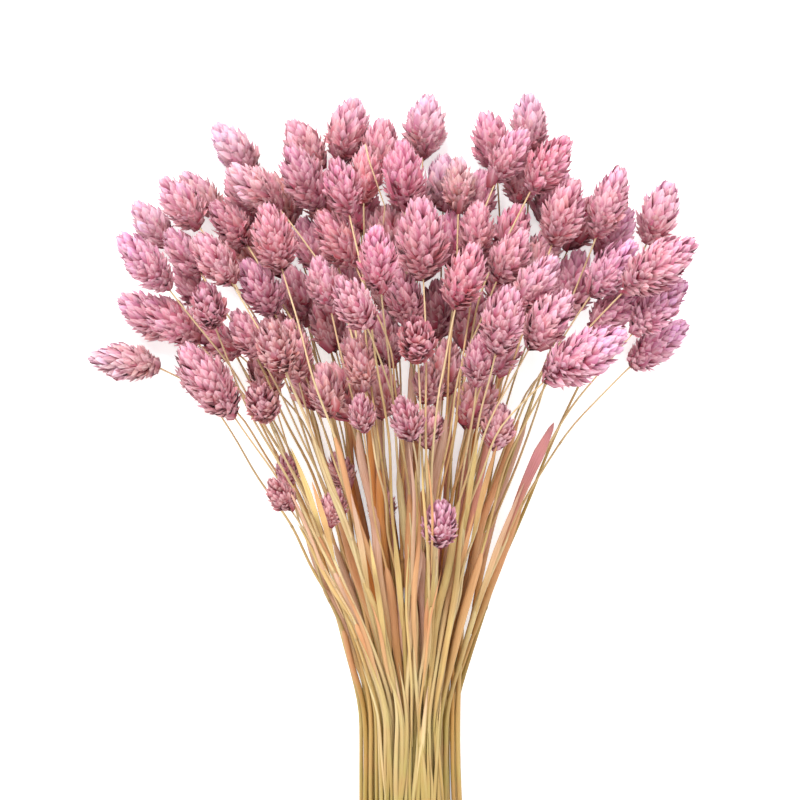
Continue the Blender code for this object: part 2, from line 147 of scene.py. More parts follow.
# The seed heads tier by tier, from the lowest in the pile. Each row gives the head's middle, x to the
# right of the neck and y from the neck towards the tips, and its length, in millimetres, then how far its
# tip turns to the right and leans up from the surface, in degrees.
HeadRow = tuple[float, float, float, float, float]
BOTTOM_TIER: tuple[HeadRow, ...] = (
    (8, 295, 30, 5, 0), (-32, 290, 31, 12, 0), (-17, 284, 28, 7, 0), (-49, 280, 28, -30, 0),
    (-90, 281, 30, -40, 0), (-99, 262, 27, -42, 0), (-82, 252, 26, -35, 0), (-131, 245, 27, -38, 0),
    (39, 282, 29, -12, 0), (60, 292, 27, -3, 0), (53, 262, 26, 10, 0), (33, 259, 26, 10, 0),
    (15, 259, 27, 0, 0), (-18, 251, 26, 0, 0), (46, 247, 26, 20, 0), (70, 252, 28, 20, 0),
    (104, 243, 29, 32, 0), (119, 251, 32, 22, 0), (64, 231, 26, 28, 0), (104, 201, 29, 60, 0),
    (126, 184, 35, 53, 0), (-145, 175, 35, -82, 0), (-133, 199, 33, -58, 0), (-111, 214, 25, -35, 0),
    (-56, 237, 28, -20, 0), (-61, 209, 29, -20, 0), (-45, 201, 27, -15, 0), (36, 199, 28, 12, 0),
    (17, 200, 28, 0, 0), (24, 177, 27, 5, 0), (81, 219, 32, 12, 0), (-17, 193, 27, -10, 0),
    (-33, 185, 25, -10, 0), (-14, 168, 25, 0, 0), (-72, 171, 26, -15, 0), (-50, 171, 24, -10, 0),
    (-98, 186, 27, -60, 0), (-109, 170, 27, -30, 0), (-62, 121, 16, -10, 0), (-35, 121, 18, -20, 0),
    (-14, 103, 19, 0, 0), (12, 141, 18, 0, 0),
)
MIDDLE_TIER: tuple[HeadRow, ...] = (
    (-22, 269, 28, 3, 0), (-54, 264, 34, -25, 4), (-77, 263, 32, -52, 4), (-115, 253, 30, -38, 0),
    (-92, 244, 28, -40, 20), (-113, 233, 27, -38, 5), (-38, 239, 32, -35, 10), (-43, 214, 27, -15, 5),
    (-75, 212, 31, -30, 10), (-120, 196, 32, -50, 5), (30, 244, 28, 4, 6), (28, 262, 26, 0, 0),
    (53, 278, 29, 30, 6), (77, 252, 34, 20, 4), (98, 256, 36, 20, 0), (49, 228, 29, 30, 4),
    (63, 215, 31, 35, 6), (102, 222, 33, 40, 4), (125, 203, 36, 45, 0), (-3, 208, 29, -15, 10),
    (-25, 174, 25, -10, 8), (-55, 180, 30, -10, 10), (-45, 162, 26, -8, 5), (-81, 189, 26, -30, 5),
    (34, 176, 25, 5, 0), (9, 163, 20, 0, 5), (-24, 150, 18, -5, 5), (9, 145, 19, 5, 0),
    (44, 143, 22, 10, 6), (-38, 103, 18, 10, 10), (-4, 269, 33, -3, 6), (70, 273, 32, 36, 6),
)
TOP_TIER: tuple[HeadRow, ...] = (
    (-34, 262, 28, -15, 8), (-68, 237, 33, -15, 8),
    (-98, 225, 29, -35, 8), (-133, 225, 36, -42, 4), (-99, 204, 28, -15, 45), (7, 236, 40, -3, 8),
    (-17, 225, 31, -5, 8), (-27, 205, 29, -30, 14), (26, 218, 33, 18, 8), (48, 195, 33, 12, 12),
    (68, 194, 33, 36, 10), (3, 186, 29, -5, 50),
    (125, 223, 42, 55, 2), (86, 180, 45, 60, 4), (-66, 183, 30, -20, 30), (-101, 166, 42, -36, 5),
    (-74, 155, 26, -20, 48), (-2, 147, 22, -17, 10), (-65, 109, 18, -33, 20), (15, 95, 24, 5, 28),
)

# The leaves: the foot, x and y from the neck, the length and the width in millimetres, and the turn.
LEAVES: tuple[HeadRow, ...] = (
    (45, 78, 72, 6.0, 23), (34, 44, 74, 4.6, 20), (33, 84, 50, 4.4, 14), (21, 40, 60, 4.2, 12),
    (4, 62, 58, 4.4, 0), (-5, 40, 52, 4.4, -5), (-21, 60, 50, 4.4, -10), (-35, 78, 40, 4.4, -16),
    (-44, 88, 46, 4.2, -20), (-14, 26, 60, 4.0, -8), (27, 90, 46, 4.2, 8), (9, 20, 56, 4.0, 2),
)

# The husks of a seed head.
HUSKS_PER_HEAD = 100
HUSKS_PER_HIDDEN_HEAD = 84
HUSK_HEAD_LENGTH = 0.030
TIP_HUSKS = 6
HUSK_COVER = 1.12
HUSK_LENGTH_SHARE = 2.06
HUSK_AREA_SHARE = 1.9
HUSK_SWELL = (0.90, 0.14)
HUSK_NUMBER_POWER = 1.15
SMALL_HEAD_POWER = 0.45
BASE_SHARE = 0.35
TIP_ROUNDING = 0.0006
TIP_START = 0.01
TIP_SPAN = 0.97
TIP_TUFT = (0.985, 1.02)
SPIRAL_STEP = 3 - math.sqrt(5)
OUTLINE_STEPS = 200
HEAD_PLUMPNESS = 1.07
LOW_HEAD_PLUMPNESS = 1.20
SPARE_HEAD_PLUMPNESS = 1.40
SMALL_HEAD_PLUMPNESS = 1.28
SMALL_HEAD_LENGTH = 0.0245
CORE_SHARE = 0.50
CORE_ENDS = (0.04, 0.80)

# How far the husks' tips reach from the head's axis, as a share of half its breadth, from base to tip.
HEAD_SHARES = (0.0, 0.05, 0.12, 0.25, 0.42, 0.58, 0.70, 0.80, 0.90, 0.97, 1.03)
HEAD_REACHES = (0.42, 0.62, 0.82, 0.97, 1.00, 0.95, 0.85, 0.72, 0.54, 0.37, 0.20)

# How far a husk opens from the head's axis, in degrees, by where its tip stands along the head.
OPENING_SHARES = (0.0, 0.15, 0.35, 0.55, 0.75, 0.90, 1.0)
OPENINGS = (90.0, 80.0, 62.0, 45.0, 30.0, 20.0, 12.0)

# The straws.
STRAW_SIDES = 8
STRAW_STEP_LOW = 0.013
STRAW_STEP_FAN = 0.007
STRAW_WAVE = 0.0009
STRAW_SWAY = 0.00040
STRAW_TOP_RADIUS = 0.00043
STRAW_HOLLOW = 0.55
SHEATH_CHANCE = 0.72
EDGE_SLOT_X = 0.0155
EDGE_TURN = math.radians(24.0)
# Straws at the bunch's edges take less of the middle's warm band, which is partly painted shade.
EDGE_BLUSH_AND_PAINTED_SHADE = 0.30
OUTER_SHEATH_LENGTH = 0.62
PINK_LEAF_WIDTHS = (0.30, 0.50, 0.78, 1.0, 0.30)
SHEATH_SHARES = (0.0, 0.10, 0.30, 0.60, 0.80, 0.93, 1.0)
SHEATH_SWELLS = (0.0, 0.35, 0.80, 1.00, 0.95, 0.55, 0.0)
LEAST_HEIGHT = 0.00012
STRIP_STATIONS = 22
STRIPS_PER_TOP_CULM = 2
STRIP_GREEN_RUN = 0.245
STRIP_GREEN_FADE = 0.040

# The thin kinked stalk that lies over the heads: its points from the neck, in millimetres.
STRAY_STALK = ((-22.5, 284.0), (-20.5, 275.0), (-16.0, 262.0), (-12.5, 252.0), (-13.5, 243.0))
STRAY_HEAD = (-17, 225)
STRAY_RADIUS = 0.00045
STRAY_LIFT = 0.0024
STRAY_DIP = 0.010
STRAY_STATIONS = 30

# The masks of the shared effects: where a noise starts to show and where it shows in full, and powers.
FIBRE_SPAN = (0.36, 0.62)
FIBRE_DETAIL = 4.0
FIBRE_ROUGHNESS = 0.6
DYE_SPAN = (0.40, 0.66)
DYE_DETAIL = 3.0
# The pale rim and tip mask, partly the pieces' own paler margins and partly painted highlight.
RIM_TIP_POWER = 3.0
RIM_TIP_SHARE = 0.8
RIM_RISE_POWER = 0.7


class Tint(Enum):
    """The tones of the dyed heads, as sRGB bytes. Crimson and russet, given mostly to heads low in the pile
    and in the lower middle, are partly the dye's own variety and partly painted shade.
    """

    DUSTY = (214, 142, 154)
    PALE = (242, 186, 194)
    BLUSH = (232, 168, 176)
    LILAC = (218, 154, 178)
    MAGENTA = (216, 122, 148)
    CORAL = (222, 134, 142)
    MAUVE = (204, 128, 152)
    SALMON = (214, 150, 142)
    RUSSET = (196, 126, 116)
    CRIMSON = (178, 92, 104)
    APRICOT = (238, 172, 170)


class StrawTone(Enum):
    """The tones of the dried stems and sheaths in even light, as sRGB bytes."""

    STRAW = (220, 194, 128)
    PALE = (232, 214, 160)
    CREAM = (232, 208, 168)
    HONEY = (222, 174, 100)
    OCHRE = (224, 140, 60)
    PEACH = (226, 166, 118)
    PINK = (224, 152, 140)
    PALE_PINK = (230, 188, 168)
    DYED_PINK = (214, 138, 154)
    GREENISH = (168, 154, 84)


class Tier(Enum):
    """How high in the pile a culm lies."""

    BOTTOM = 0
    MIDDLE = 1
    TOP = 2


# The heads of each tone, by their place in the tables. The rest are dusty pink.
HEADS_BY_TINT: dict[Tint, tuple[tuple[int, int], ...]] = {
    Tint.PALE: ((8, 295), (-90, 281), (-99, 262), (-131, 245), (60, 292), (15, 259), (-145, 175)),
    Tint.BLUSH: (
        (-32, 290), (-49, 280), (119, 251), (64, 231), (-77, 263), (-115, 253), (-113, 233),
        (98, 256), (63, 215), (-133, 199), (68, 194),
    ),
    Tint.LILAC: ((102, 222), (126, 184), (125, 203), (-133, 225), (86, 180), (15, 95), (104, 243)),
    Tint.MAGENTA: ((-18, 251), (46, 247), (-4, 269), (-17, 225), (-34, 262), (70, 273)),
    Tint.CORAL: ((-68, 237), (-38, 239), (-22, 269), (26, 218), (3, 186)),
    Tint.MAUVE: ((81, 219), (70, 252), (-56, 237), (-54, 264), (104, 201), (-75, 212)),
    Tint.SALMON: ((44, 143), (-55, 180), (-74, 155), (-35, 121), (-66, 183)),
    Tint.APRICOT: ((28, 262),),
    Tint.RUSSET: (
        (24, 177), (-33, 185), (-14, 168), (-72, 171), (-45, 162), (-65, 109), (-38, 103), (9, 145),
        (-14, 103), (-25, 174), (9, 163), (-50, 171),
    ),
    Tint.CRIMSON: (
        (-61, 209), (-45, 201), (36, 199), (17, 200), (-17, 193), (-98, 186), (-62, 121), (-24, 150),
        (-2, 147), (12, 141), (34, 176), (-109, 170),
    ),
}
# The filling heads deep in the pile take deep tones: partly dye variety, partly painted shade.
SPARE_TINTS_IN_PAINTED_SHADE = (Tint.CRIMSON, Tint.MAGENTA, Tint.CRIMSON, Tint.RUSSET)

# The tones that straws, sheaths and blades are picked from. A tone that stands twice is picked more often.
TOP_STRAW_TONES = (StrawTone.PALE, StrawTone.STRAW, StrawTone.PALE)
# The lower straws add honey: partly tone variety, partly painted shade deeper in the pile.
LOWER_STRAW_TONES = (
    StrawTone.STRAW, StrawTone.PALE, StrawTone.HONEY, StrawTone.GREENISH, StrawTone.STRAW,
)
FRONT_SHEATH_TONES = (
    StrawTone.PEACH, StrawTone.STRAW, StrawTone.PALE_PINK, StrawTone.PALE, StrawTone.PEACH,
)
# The sheaths behind add ochre and pink: partly tone variety, partly painted shade deeper in the pile.
BACK_SHEATH_TONES = (
    StrawTone.PEACH, StrawTone.OCHRE, StrawTone.PALE_PINK, StrawTone.PINK, StrawTone.PEACH,
)
STRIP_TONES = (
    StrawTone.PEACH, StrawTone.STRAW, StrawTone.PALE, StrawTone.STRAW, StrawTone.PALE_PINK,
)
BLADE_TONES = (StrawTone.PEACH, StrawTone.PALE_PINK, StrawTone.STRAW)

# How much of the warm tone in its middle a straw takes, by how high it lies: partly the dye's blush, and
# for straws low in the pile mostly painted shade between the stems.
BLUSH_AND_PAINTED_SHADE_BY_TIER = {Tier.BOTTOM: 1.0, Tier.MIDDLE: 0.5, Tier.TOP: 0.15}


def linear(colour: tuple[float, float, float]) -> np.ndarray:
    """Turns sRGB bytes into scene-linear values.

    Args:
        colour: red, green and blue from 0 to 255.

    Returns:
        The three linear values from 0 to 1.
    """
    share = np.asarray(colour, dtype=float) / 255.0
    return np.where(share <= 0.04045, share / 12.92, ((share + 0.055) / 1.055) ** 2.4)


def head_radius(share: float) -> float:
    """A head's outer radius along its length.

    Args:
        share: the share of the length, from the base.

    Returns:
        The radius as a share of half the head's width.
    """
    share = min(1.0, max(0.0, share))
    swell = math.sin(math.pi * share**SWELL_POWER)
    taper = 1.0 - TIP_TAPER * max(0.0, (share - TAPER_FROM) / (1 - TAPER_FROM)) ** TAPER_POWER
    return (BASE_RADIUS_SHARE + (1 - BASE_RADIUS_SHARE) * max(0.0, swell) ** FULLNESS) * taper


def along(a: Vector, b: Vector, step: float = 0.001) -> list[float]:
    """Shares from 0 to 1 that step along a line.

    Args:
        a: the line's start.
        b: the line's end.
        step: the distance between two steps.

    Returns:
        The shares.
    """
    count = max(2, int((b - a).length / step))
    return [k / count for k in range(count + 1)]


def bezier(a: Vector, b: Vector, c: Vector, d: Vector, t: float) -> Vector:
    """A point on a cubic curve.

    Args:
        a: the curve's start.
        b: its first handle.
        c: its second handle.
        d: its end.
        t: the parameter from 0 to 1.

    Returns:
        The point.
    """
    s = 1 - t
    return a * s**3 + b * (3 * s * s * t) + c * (3 * s * t * t) + d * t**3


def taut(least: list[float], needs: list[list[tuple[float, float]]]) -> list[float]:
    """Raises the heights of a line's knots as little as clears what each stretch needs.

    Args:
        least: the least height of each knot.
        needs: for each stretch between knots, pairs of a share along it and the height it needs there.

    Returns:
        The knots' heights.
    """
    heights = list(least)
    for _ in range(TAUT_TURNS):
        worst = TAUT_SLACK
        place = (0, 0.0)
        for k, stretch in enumerate(needs):
            for share, need in stretch:
                short = need - heights[k] * (1 - share) - heights[k + 1] * share
                if short > worst:
                    worst, place = short, (k, share)
        if worst <= TAUT_SLACK:
            break
        k, share = place
        size = share**2 + (1 - share) ** 2
        heights[k] += worst * (1 - share) / size
        heights[k + 1] += worst * share / size
    return heights


@dataclass
class Pile:
    """A map of how high the pile stands over the surface."""

    height: np.ndarray = field(
        default_factory=lambda: np.zeros((int(2 * MAP_X / CELL), int((MAP_Y[1] - MAP_Y[0]) / CELL)))
    )

    def window(
        self, point: Vector, radius: float
    ) -> tuple[tuple[slice, slice], np.ndarray, np.ndarray]:
        """Finds the map's cells round a point.

        Args:
            point: the middle of a ball.
            radius: the ball's radius.

        Returns:
            The cells, each one's rise on the ball, and which of them are inside it.
        """
        reach = int(radius / CELL) + 1
        i = int((point[0] + MAP_X) / CELL)
        j = int((point[1] - MAP_Y[0]) / CELL)
        cells = (slice(i - reach, i + reach + 1), slice(j - reach, j + reach + 1))
        x = (np.arange(i - reach, i + reach + 1) + 0.5) * CELL - MAP_X - point[0]
        y = (np.arange(j - reach, j + reach + 1) + 0.5) * CELL + MAP_Y[0] - point[1]
        square = radius**2 - x[:, None] ** 2 - y[None, :] ** 2
        return cells, np.sqrt(np.maximum(square, 0.0)), square > 0

    def needed(self, point: Vector, radius: float, floor: float) -> float:
        """The least height at which a ball clears the pile and keeps above a floor.

        Args:
            point: the ball's middle in plan.
            radius: its radius.
            floor: the least height that the floor allows.

        Returns:
            The height of the ball's middle.
        """
        cells, rise, inside = self.window(point, radius + CLEARANCE)
        under = self.height[cells]
        touched = inside & (under > 0)
        if not touched.any():
            return floor
        return max(floor, float((under + rise)[touched].max()))

    def add(self, point: Vector, radius: float) -> None:
        """Raises the map by a ball.

        Args:
            point: the ball's middle.
            radius: its radius.
        """
        cells, rise, inside = self.window(point, radius)
        under = self.height[cells]
        self.height[cells] = np.where(inside, np.maximum(under, point[2] + rise), under)


@dataclass
class HeadPlace:
    """Where a seed head lies: its base from the neck, its length, its turn and its lean."""

    row: HeadRow
    tier: Tier
    length: float = field(init=False)
    width: float = field(init=False)
    direction: Vector = field(init=False)
    flat_turn: Vector = field(init=False)
    base: Vector = field(init=False)

    def __post_init__(self) -> None:
        """Works out the base and the direction from the row."""
        x, y, length, turn, lean = self.row
        self.length = length * MM
        slender = abs(x) > SLENDER_FROM and length >= SLENDER_LENGTH
        self.width = self.length * (SLENDER_SHARE if slender else HEAD_WIDTH_SHARE)
        turn, lean = math.radians(turn), math.radians(lean)
        flat = math.cos(lean)
        self.direction = Vector((math.sin(turn) * flat, math.cos(turn) * flat, math.sin(lean)))
        self.flat_turn = Vector((math.sin(turn), math.cos(turn), 0.0))
        middle = Vector((x * MM, y * MM, 0.0))
        self.base = middle - self.flat_turn * (self.length * flat / 2)

    def reach(self) -> float:
        """How far the head's base is from the neck."""
        return self.base.length

    def azimuth(self) -> float:
        """The head's direction from the neck, to the right of the bunch's axis."""
        return math.atan2(self.base.x, self.base.y)

    def discs(self) -> Iterator[tuple[Vector, float]]:
        """Three discs that cover the head in plan."""
        for share in DISC_SHARES:
            yield self.base + self.direction * (share * self.length), self.width / 2 * head_radius(share)

    def balls(self) -> Iterator[tuple[float, Vector, float]]:
        """Balls along the head's axis that fill the head.

        Returns:
            Each one's rise over the base, its middle and its radius.
        """
        for share in np.linspace(*BALL_SPAN, BALLS_PER_HEAD):
            point = self.base + self.direction * (share * self.length)
            yield point.z - self.base.z, point, self.width / 2 * head_radius(share)

    def need(self, pile: Pile) -> float:
        """The least height of the head's base at which it lies on the pile.

        Args:
            pile: the pile so far.

        Returns:
            The height.
        """
        return max(
            pile.needed(point, radius, radius * FLOOR_PRESS) - rise for rise, point, radius in self.balls()
        )


@dataclass
class Leaf:
    """A blade that leaves a culm's fan and lies on the pile."""

    culm: Culm
    row: HeadRow
    width: float = field(init=False)
    cost: float = field(init=False)
    points: list[Vector] = field(init=False)

    def __post_init__(self) -> None:
        """Finds the root on the culm and runs the blade out in plan."""
        x, y, length, width, turn = self.row
        self.width = width * MM
        foot = Vector((x * MM, y * MM))
        places = [point for stretch in list(self.culm.balls())[1:-1] for _, point, _ in stretch]
        root = min(places, key=lambda point: (point.xy - foot).length)
        self.cost = (root.xy - foot).length - LEAF_CLIMB * root.z
        self.points = [root + Vector((0.0, 0.0, STEM_RADIUS / 2))]
        for step in range(LEAF_STEPS):
            bend = math.radians(turn * (LEAF_FIRST_BEND + LEAF_BEND_STEP * step))
            way = Vector((math.sin(bend), math.cos(bend), 0.0))
            self.points.append(self.points[-1] + way * (length * MM / LEAF_STEPS))

    def across(self, k: int) -> Vector:
        """The level direction across the blade, to the right.

        Args:
            k: the number of one of its points.

        Returns:
            The direction.
        """
        a, b = self.points[max(0, k - 1)], self.points[min(LEAF_STEPS, k + 1)]
        return Vector((b.y - a.y, a.x - b.x, 0.0)).normalized()

    def balls(self) -> Iterator[list[tuple[float, Vector, float]]]:
        """Balls across and along each stretch of the blade.

        Returns:
            For each stretch, the shares along it, each with a ball's middle and radius.
        """
        for k in range(LEAF_STEPS):
            a, b = self.points[k], self.points[k + 1]
            half_a, half_b = (self.width / 2 * LEAF_WIDTHS[j] for j in (k, k + 1))
            side_a, side_b = self.across(k) * half_a, self.across(k + 1) * half_b
            yield [
                (t, a.lerp(b, t) + side_a.lerp(side_b, t) * share, LEAF_THICKNESS)
                for t in along(a, b)
                for share in np.linspace(-1.0, 1.0, LEAF_COLUMNS)
            ]

    def lay(self, pile: Pile) -> None:
        """Gives each point the least height at which the blade lies on the pile.

        Args:
            pile: the pile so far.
        """
        needs = [
            [(t, pile.needed(point, radius, radius)) for t, point, radius in stretch]
            for stretch in self.balls()
        ]
        least = [self.points[0].z] * (LEAF_STEPS + 1)
        needs[0] = [(t, need) for t, need in needs[0] if t > LEAF_FREE_FROM]
        for point, height in zip(self.points[1:], taut(least, needs)[1:]):
            point.z = height

    def press(self, pile: Pile) -> None:
        """Adds the blade to the pile's map.

        Args:
            pile: the pile so far.
        """
        for stretch in self.balls():
            for _, point, radius in stretch:
                pile.add(point, radius)


@dataclass
class Culm:
    """One stem with its head, in plan at first and then laid on the pile."""

    head: HeadPlace
    slot_x: float
    foot_x: float
    odd: int
    cut: float
    low: float = 0.0
    leaves: list[Leaf] = field(default_factory=list)
    radius: float = field(init=False)
    points: list[Vector] = field(init=False)

    def __post_init__(self) -> None:
        """Runs the stem from its cut end through the neck to the head, in plan."""
        head = self.head
        self.radius = STEM_RADIUS + (STEM_RADIUS_STEP if self.odd else 0.0)
        neck = Vector((self.slot_x, 0.0, 0.0))
        spread = head.base - neck
        lean = FAN_SHARE * math.atan2(spread.x, spread.y)
        out = neck + Vector((math.sin(lean), math.cos(lean), 0.0)) * (FAN_REACH * spread.length)
        back = head.base - head.flat_turn * (HEAD_REACH * spread.length)
        fan = [bezier(neck, out, back, head.base, k / FAN_STEPS) for k in range(FAN_STEPS + 1)]
        self.points = [Vector((self.foot_x, self.cut, 0.0)), *fan]

    def radii(self) -> list[float]:
        """The stem's radius at each of its points."""
        fan = [1 - k / FAN_STEPS for k in range(FAN_STEPS + 1)]
        return [self.radius, *(STEM_TOP_RADIUS + (self.radius - STEM_TOP_RADIUS) * share for share in fan)]

    def balls(self) -> Iterator[list[tuple[float, Vector, float]]]:
        """Balls along each stretch of the stem.

        Returns:
            For each stretch, the shares along it, each with a ball's middle and radius.
        """
        radii = self.radii()
        for k in range(len(self.points) - 1):
            a, b = self.points[k], self.points[k + 1]
            yield [
                (t, a.lerp(b, t), (radii[k] * (1 - t) + radii[k + 1] * t) * STEM_ROUND_SHARE)
                for t in along(a, b)
            ]

    def lay(self, pile: Pile) -> None:
        """Gives each point the least height at which the culm lies on the pile.

        Args:
            pile: the pile so far.
        """
        needs = [
            [(t, pile.needed(point, radius, radius * STEM_BED_SHARE)) for t, point, radius in stretch]
            for stretch in self.balls()
        ]
        least = [stretch[0][1] for stretch in needs] + [needs[-1][-1][1]]
        least[-1] = max(least[-1], self.head.need(pile))
        least[0] = max(least[0], self.low)
        least[1] = max(least[1], self.low)
        for k in range(2, len(least) - 1):
            rise = ((k - 1) / FAN_STEPS) ** STIFFNESS
            least[k] = max(least[k], least[1] + (least[-1] - least[1]) * rise)
        for point, height in zip(self.points, taut(least, needs)):
            point.z = height
        self.head.base = self.points[-1]

    def keep_over(self, twin: Culm, pile: Pile) -> None:
        """Keeps the culm and its twin above what the solids' joint between them needs.

        Args:
            twin: the culm to the left.
            pile: the pile so far.
        """
        foot, other = twin.points[0], self.points[0]
        start = foot + Vector((0.0, HOOK_LENGTH / 2, STEM_RADIUS / 3))
        end = Vector((other.x, start.y + HOOK_LENGTH, other.z))
        self.low = max(pile.needed(start.lerp(end, t), self.radius, 0.0) for t in along(start, end))
        twin.low = self.low

    def press(self, pile: Pile) -> None:
        """Adds the culm to the pile's map.

        Args:
            pile: the pile so far.
        """
        for stretch in self.balls():
            for _, point, radius in stretch:
                pile.add(point, radius)
        for _, point, radius in self.head.balls():
            pile.add(point, radius)


@dataclass
class Bunch:
    """The rule that lays the whole bunch, tier by tier and row by row."""

    seed: int = LAYING_SEED
    culms: list[Culm] = field(default_factory=list)
    pile: Pile = field(default_factory=Pile)

    def fillers(self, tier: tuple[HeadRow, ...], upper: tuple[HeadRow, ...]) -> list[HeadRow]:
        """Rows for heads where the tiers leave room, tried in the golden ratio's even order.

        Args:
            tier: the lowest tier's own rows.
            upper: the rows of the tiers over it.

        Returns:
            The rows found.
        """
        golden = (math.sqrt(5) - 1) / 2
        found: list[HeadRow] = []
        for trial in range(FILLER_TRIALS):
            side = (trial * golden) % 1.0 - 0.5
            y = FILLER_NEAR + (FILLER_FAR - FILLER_NEAR) * ((trial * golden * FILLER_STEP) % 1.0)
            x = side * (FILLER_BREADTH + (y - FILLER_NEAR))
            room = all(math.hypot(x - r[0], y - r[1]) > FILLER_ROOM for r in (*tier, *found))
            sight = all(math.hypot(x - r[0], y - r[1]) > FILLER_SIGHT for r in upper)
            if len(found) < FILLER_COUNT and room and sight:
                found.append((x, y, FILLER_LENGTH, side * FILLER_TURN, 0))
        return found

    def overlap(self, one: HeadPlace, other: HeadPlace) -> tuple[float, Vector]:
        """How far two heads overlap in plan.

        Args:
            one: the first head.
            other: the second head.

        Returns:
            The depth, and the level direction from the first to the second.
        """
        most, way = 0.0, Vector((0.0, 0.0, 0.0))
        for near, near_radius in one.discs():
            for far, far_radius in other.discs():
                gap = far - near
                gap.z = 0.0
                deep = near_radius + far_radius - gap.length
                if deep > most:
                    most, way = deep, gap.normalized()
        return most, way

    def spread_out(self, heads: list[HeadPlace], room: float) -> None:
        """Moves a tier's heads apart in plan.

        Args:
            heads: the heads.
            room: how far each may move.
        """
        places = [head.base.copy() for head in heads]
        for _ in range(SPREAD_TURNS):
            for i, one in enumerate(heads):
                for other in heads[i + 1 :]:
                    if (one.base - other.base).length > one.length + other.length:
                        continue
                    deep, way = self.overlap(one, other)
                    one.base -= way * (deep / 2)
                    other.base += way * (deep / 2)
            for head, place in zip(heads, places):
                moved = head.base - place
                if moved.length > room:
                    head.base = place + moved.normalized() * room

    def rows_of(self, rows: tuple[HeadRow, ...], tier: Tier, room: float) -> list[list[HeadPlace]]:
        """A tier's heads in rows for the neck, those that reach farthest first.

        Args:
            rows: the tier's rows.
            tier: which tier it is.
            room: how far a head may be moved aside.

        Returns:
            The rows of heads.
        """
        heads = [HeadPlace(row, tier) for row in rows]
        self.spread_out(heads, room)
        heads.sort(key=lambda head: -head.reach())
        count = math.ceil(len(heads) / ROW_LENGTH)
        ends = [round(k * len(heads) / count / 2) * 2 for k in range(count + 1)]
        return [heads[a:b] for a, b in zip(ends, ends[1:])]

    def lay(self) -> list[Culm]:
        """Lays every culm in rows from the neck's lowest row up, then the leaves.

        Returns:
            The culms, in pairs of neighbours.
        """
        draw = random.Random(self.seed)
        pile = self.pile
        spare = self.fillers(BOTTOM_TIER, (*MIDDLE_TIER, *TOP_TIER))
        tiers = (
            ((*BOTTOM_TIER, *spare), Tier.BOTTOM, TIER_ROOM[0]),
            (MIDDLE_TIER, Tier.MIDDLE, TIER_ROOM[1]),
            (TOP_TIER, Tier.TOP, TIER_ROOM[2]),
        )
        rows = [row for rows, tier, room in tiers for row in self.rows_of(rows, tier, room)]
        for number, heads in enumerate(rows):
            heads.sort(key=lambda head: head.azimuth())
            shift = (len(heads) - 1) / 2 - (ROW_STAGGER if number % 2 else -ROW_STAGGER)
            sway = ROW_SWAY * math.sin(ROW_SWAY_PACE * number)
            row: list[Culm] = []
            for slot, head in enumerate(heads):
                x = (slot - shift) * SLOT_PITCH + draw.uniform(-SLOT_STRAY, SLOT_STRAY)
                cut = -STEM_BELOW_NECK + draw.uniform(-CUT_END_SPREAD, CUT_END_SPREAD)
                row.append(Culm(head, x, x * FOOT_SPLAY + sway, slot % 2, cut))
            for left, right in zip(row[::2], row[1::2]):
                right.keep_over(left, pile)
            for culm in sorted(row, key=lambda culm: -culm.head.reach()):
                culm.lay(pile)
                culm.press(pile)
            self.culms += row
        for leaf_row in LEAVES:
            leaf = min((Leaf(culm, leaf_row) for culm in self.culms), key=lambda leaf: leaf.cost)
            leaf.lay(pile)
            leaf.press(pile)
            leaf.culm.leaves.append(leaf)
        return self.culms


def at_neck(points: np.ndarray) -> np.ndarray:
    """Moves points measured from the neck into the part's frame.

    Args:
        points: the points, with x, y and z last.

    Returns:
        The moved points, none of them below the surface.
    """
    moved = points + np.array((NECK_X, NECK_Y, 0.0))
    moved[..., 2] = np.maximum(moved[..., 2], LEAST_HEIGHT)
    return moved


def pick(draw: np.random.Generator, choices: tuple[Choice, ...]) -> Choice:
    """Draws one of some choices."""
    return choices[int(draw.integers(len(choices)))]


def blend(one: np.ndarray, other: np.ndarray, share: np.ndarray) -> np.ndarray:
    """Mixes two linear colours by the second one's share."""
    return one * (1 - share) + other * share


def run_along(points: np.ndarray) -> np.ndarray:
    """How far each point of a line is from its start, along the line."""
    steps = np.linalg.norm(np.diff(points, axis=0), axis=1)
    return np.concatenate([[0.0], np.cumsum(steps)])


def on_line(at: np.ndarray, marks: np.ndarray, points: np.ndarray) -> np.ndarray:
    """Points on a line, between its own points.

    Args:
        at: where the new points stand.
        marks: where the line's own points stand, in the same measure.
        points: the line's own points.

    Returns:
        The new points.
    """
    return np.stack([np.interp(at, marks, points[:, k]) for k in range(3)], axis=-1)


def round_off(line: np.ndarray, turns: int) -> None:
    """Rounds off a line's corners in place and keeps its ends.

    Args:
        line: the line's points.
        turns: how many times each point moves towards its neighbours.
    """
    for _ in range(turns):
        line[1:-1] = (line[:-2] + 2 * line[1:-1] + line[2:]) / 4


def drawn_tight(under: np.ndarray, turns: int) -> np.ndarray:
    """The heights of a line that is drawn tight over what it lies on.

    Args:
        under: the least height of each point.
        turns: how many times the line is pulled straight.

    Returns:
        The heights.
    """
    height = under.copy()
    for _ in range(turns):
        height[1:-1] = np.maximum(under[1:-1], (height[:-2] + height[2:]) / 2)
    return height


@dataclass(frozen=True)
class Marks:
    """What the finish of a long piece reads, along its stations and across its columns."""

    share: np.ndarray
    edge: np.ndarray
    chance: float
    across: np.ndarray
    along: np.ndarray


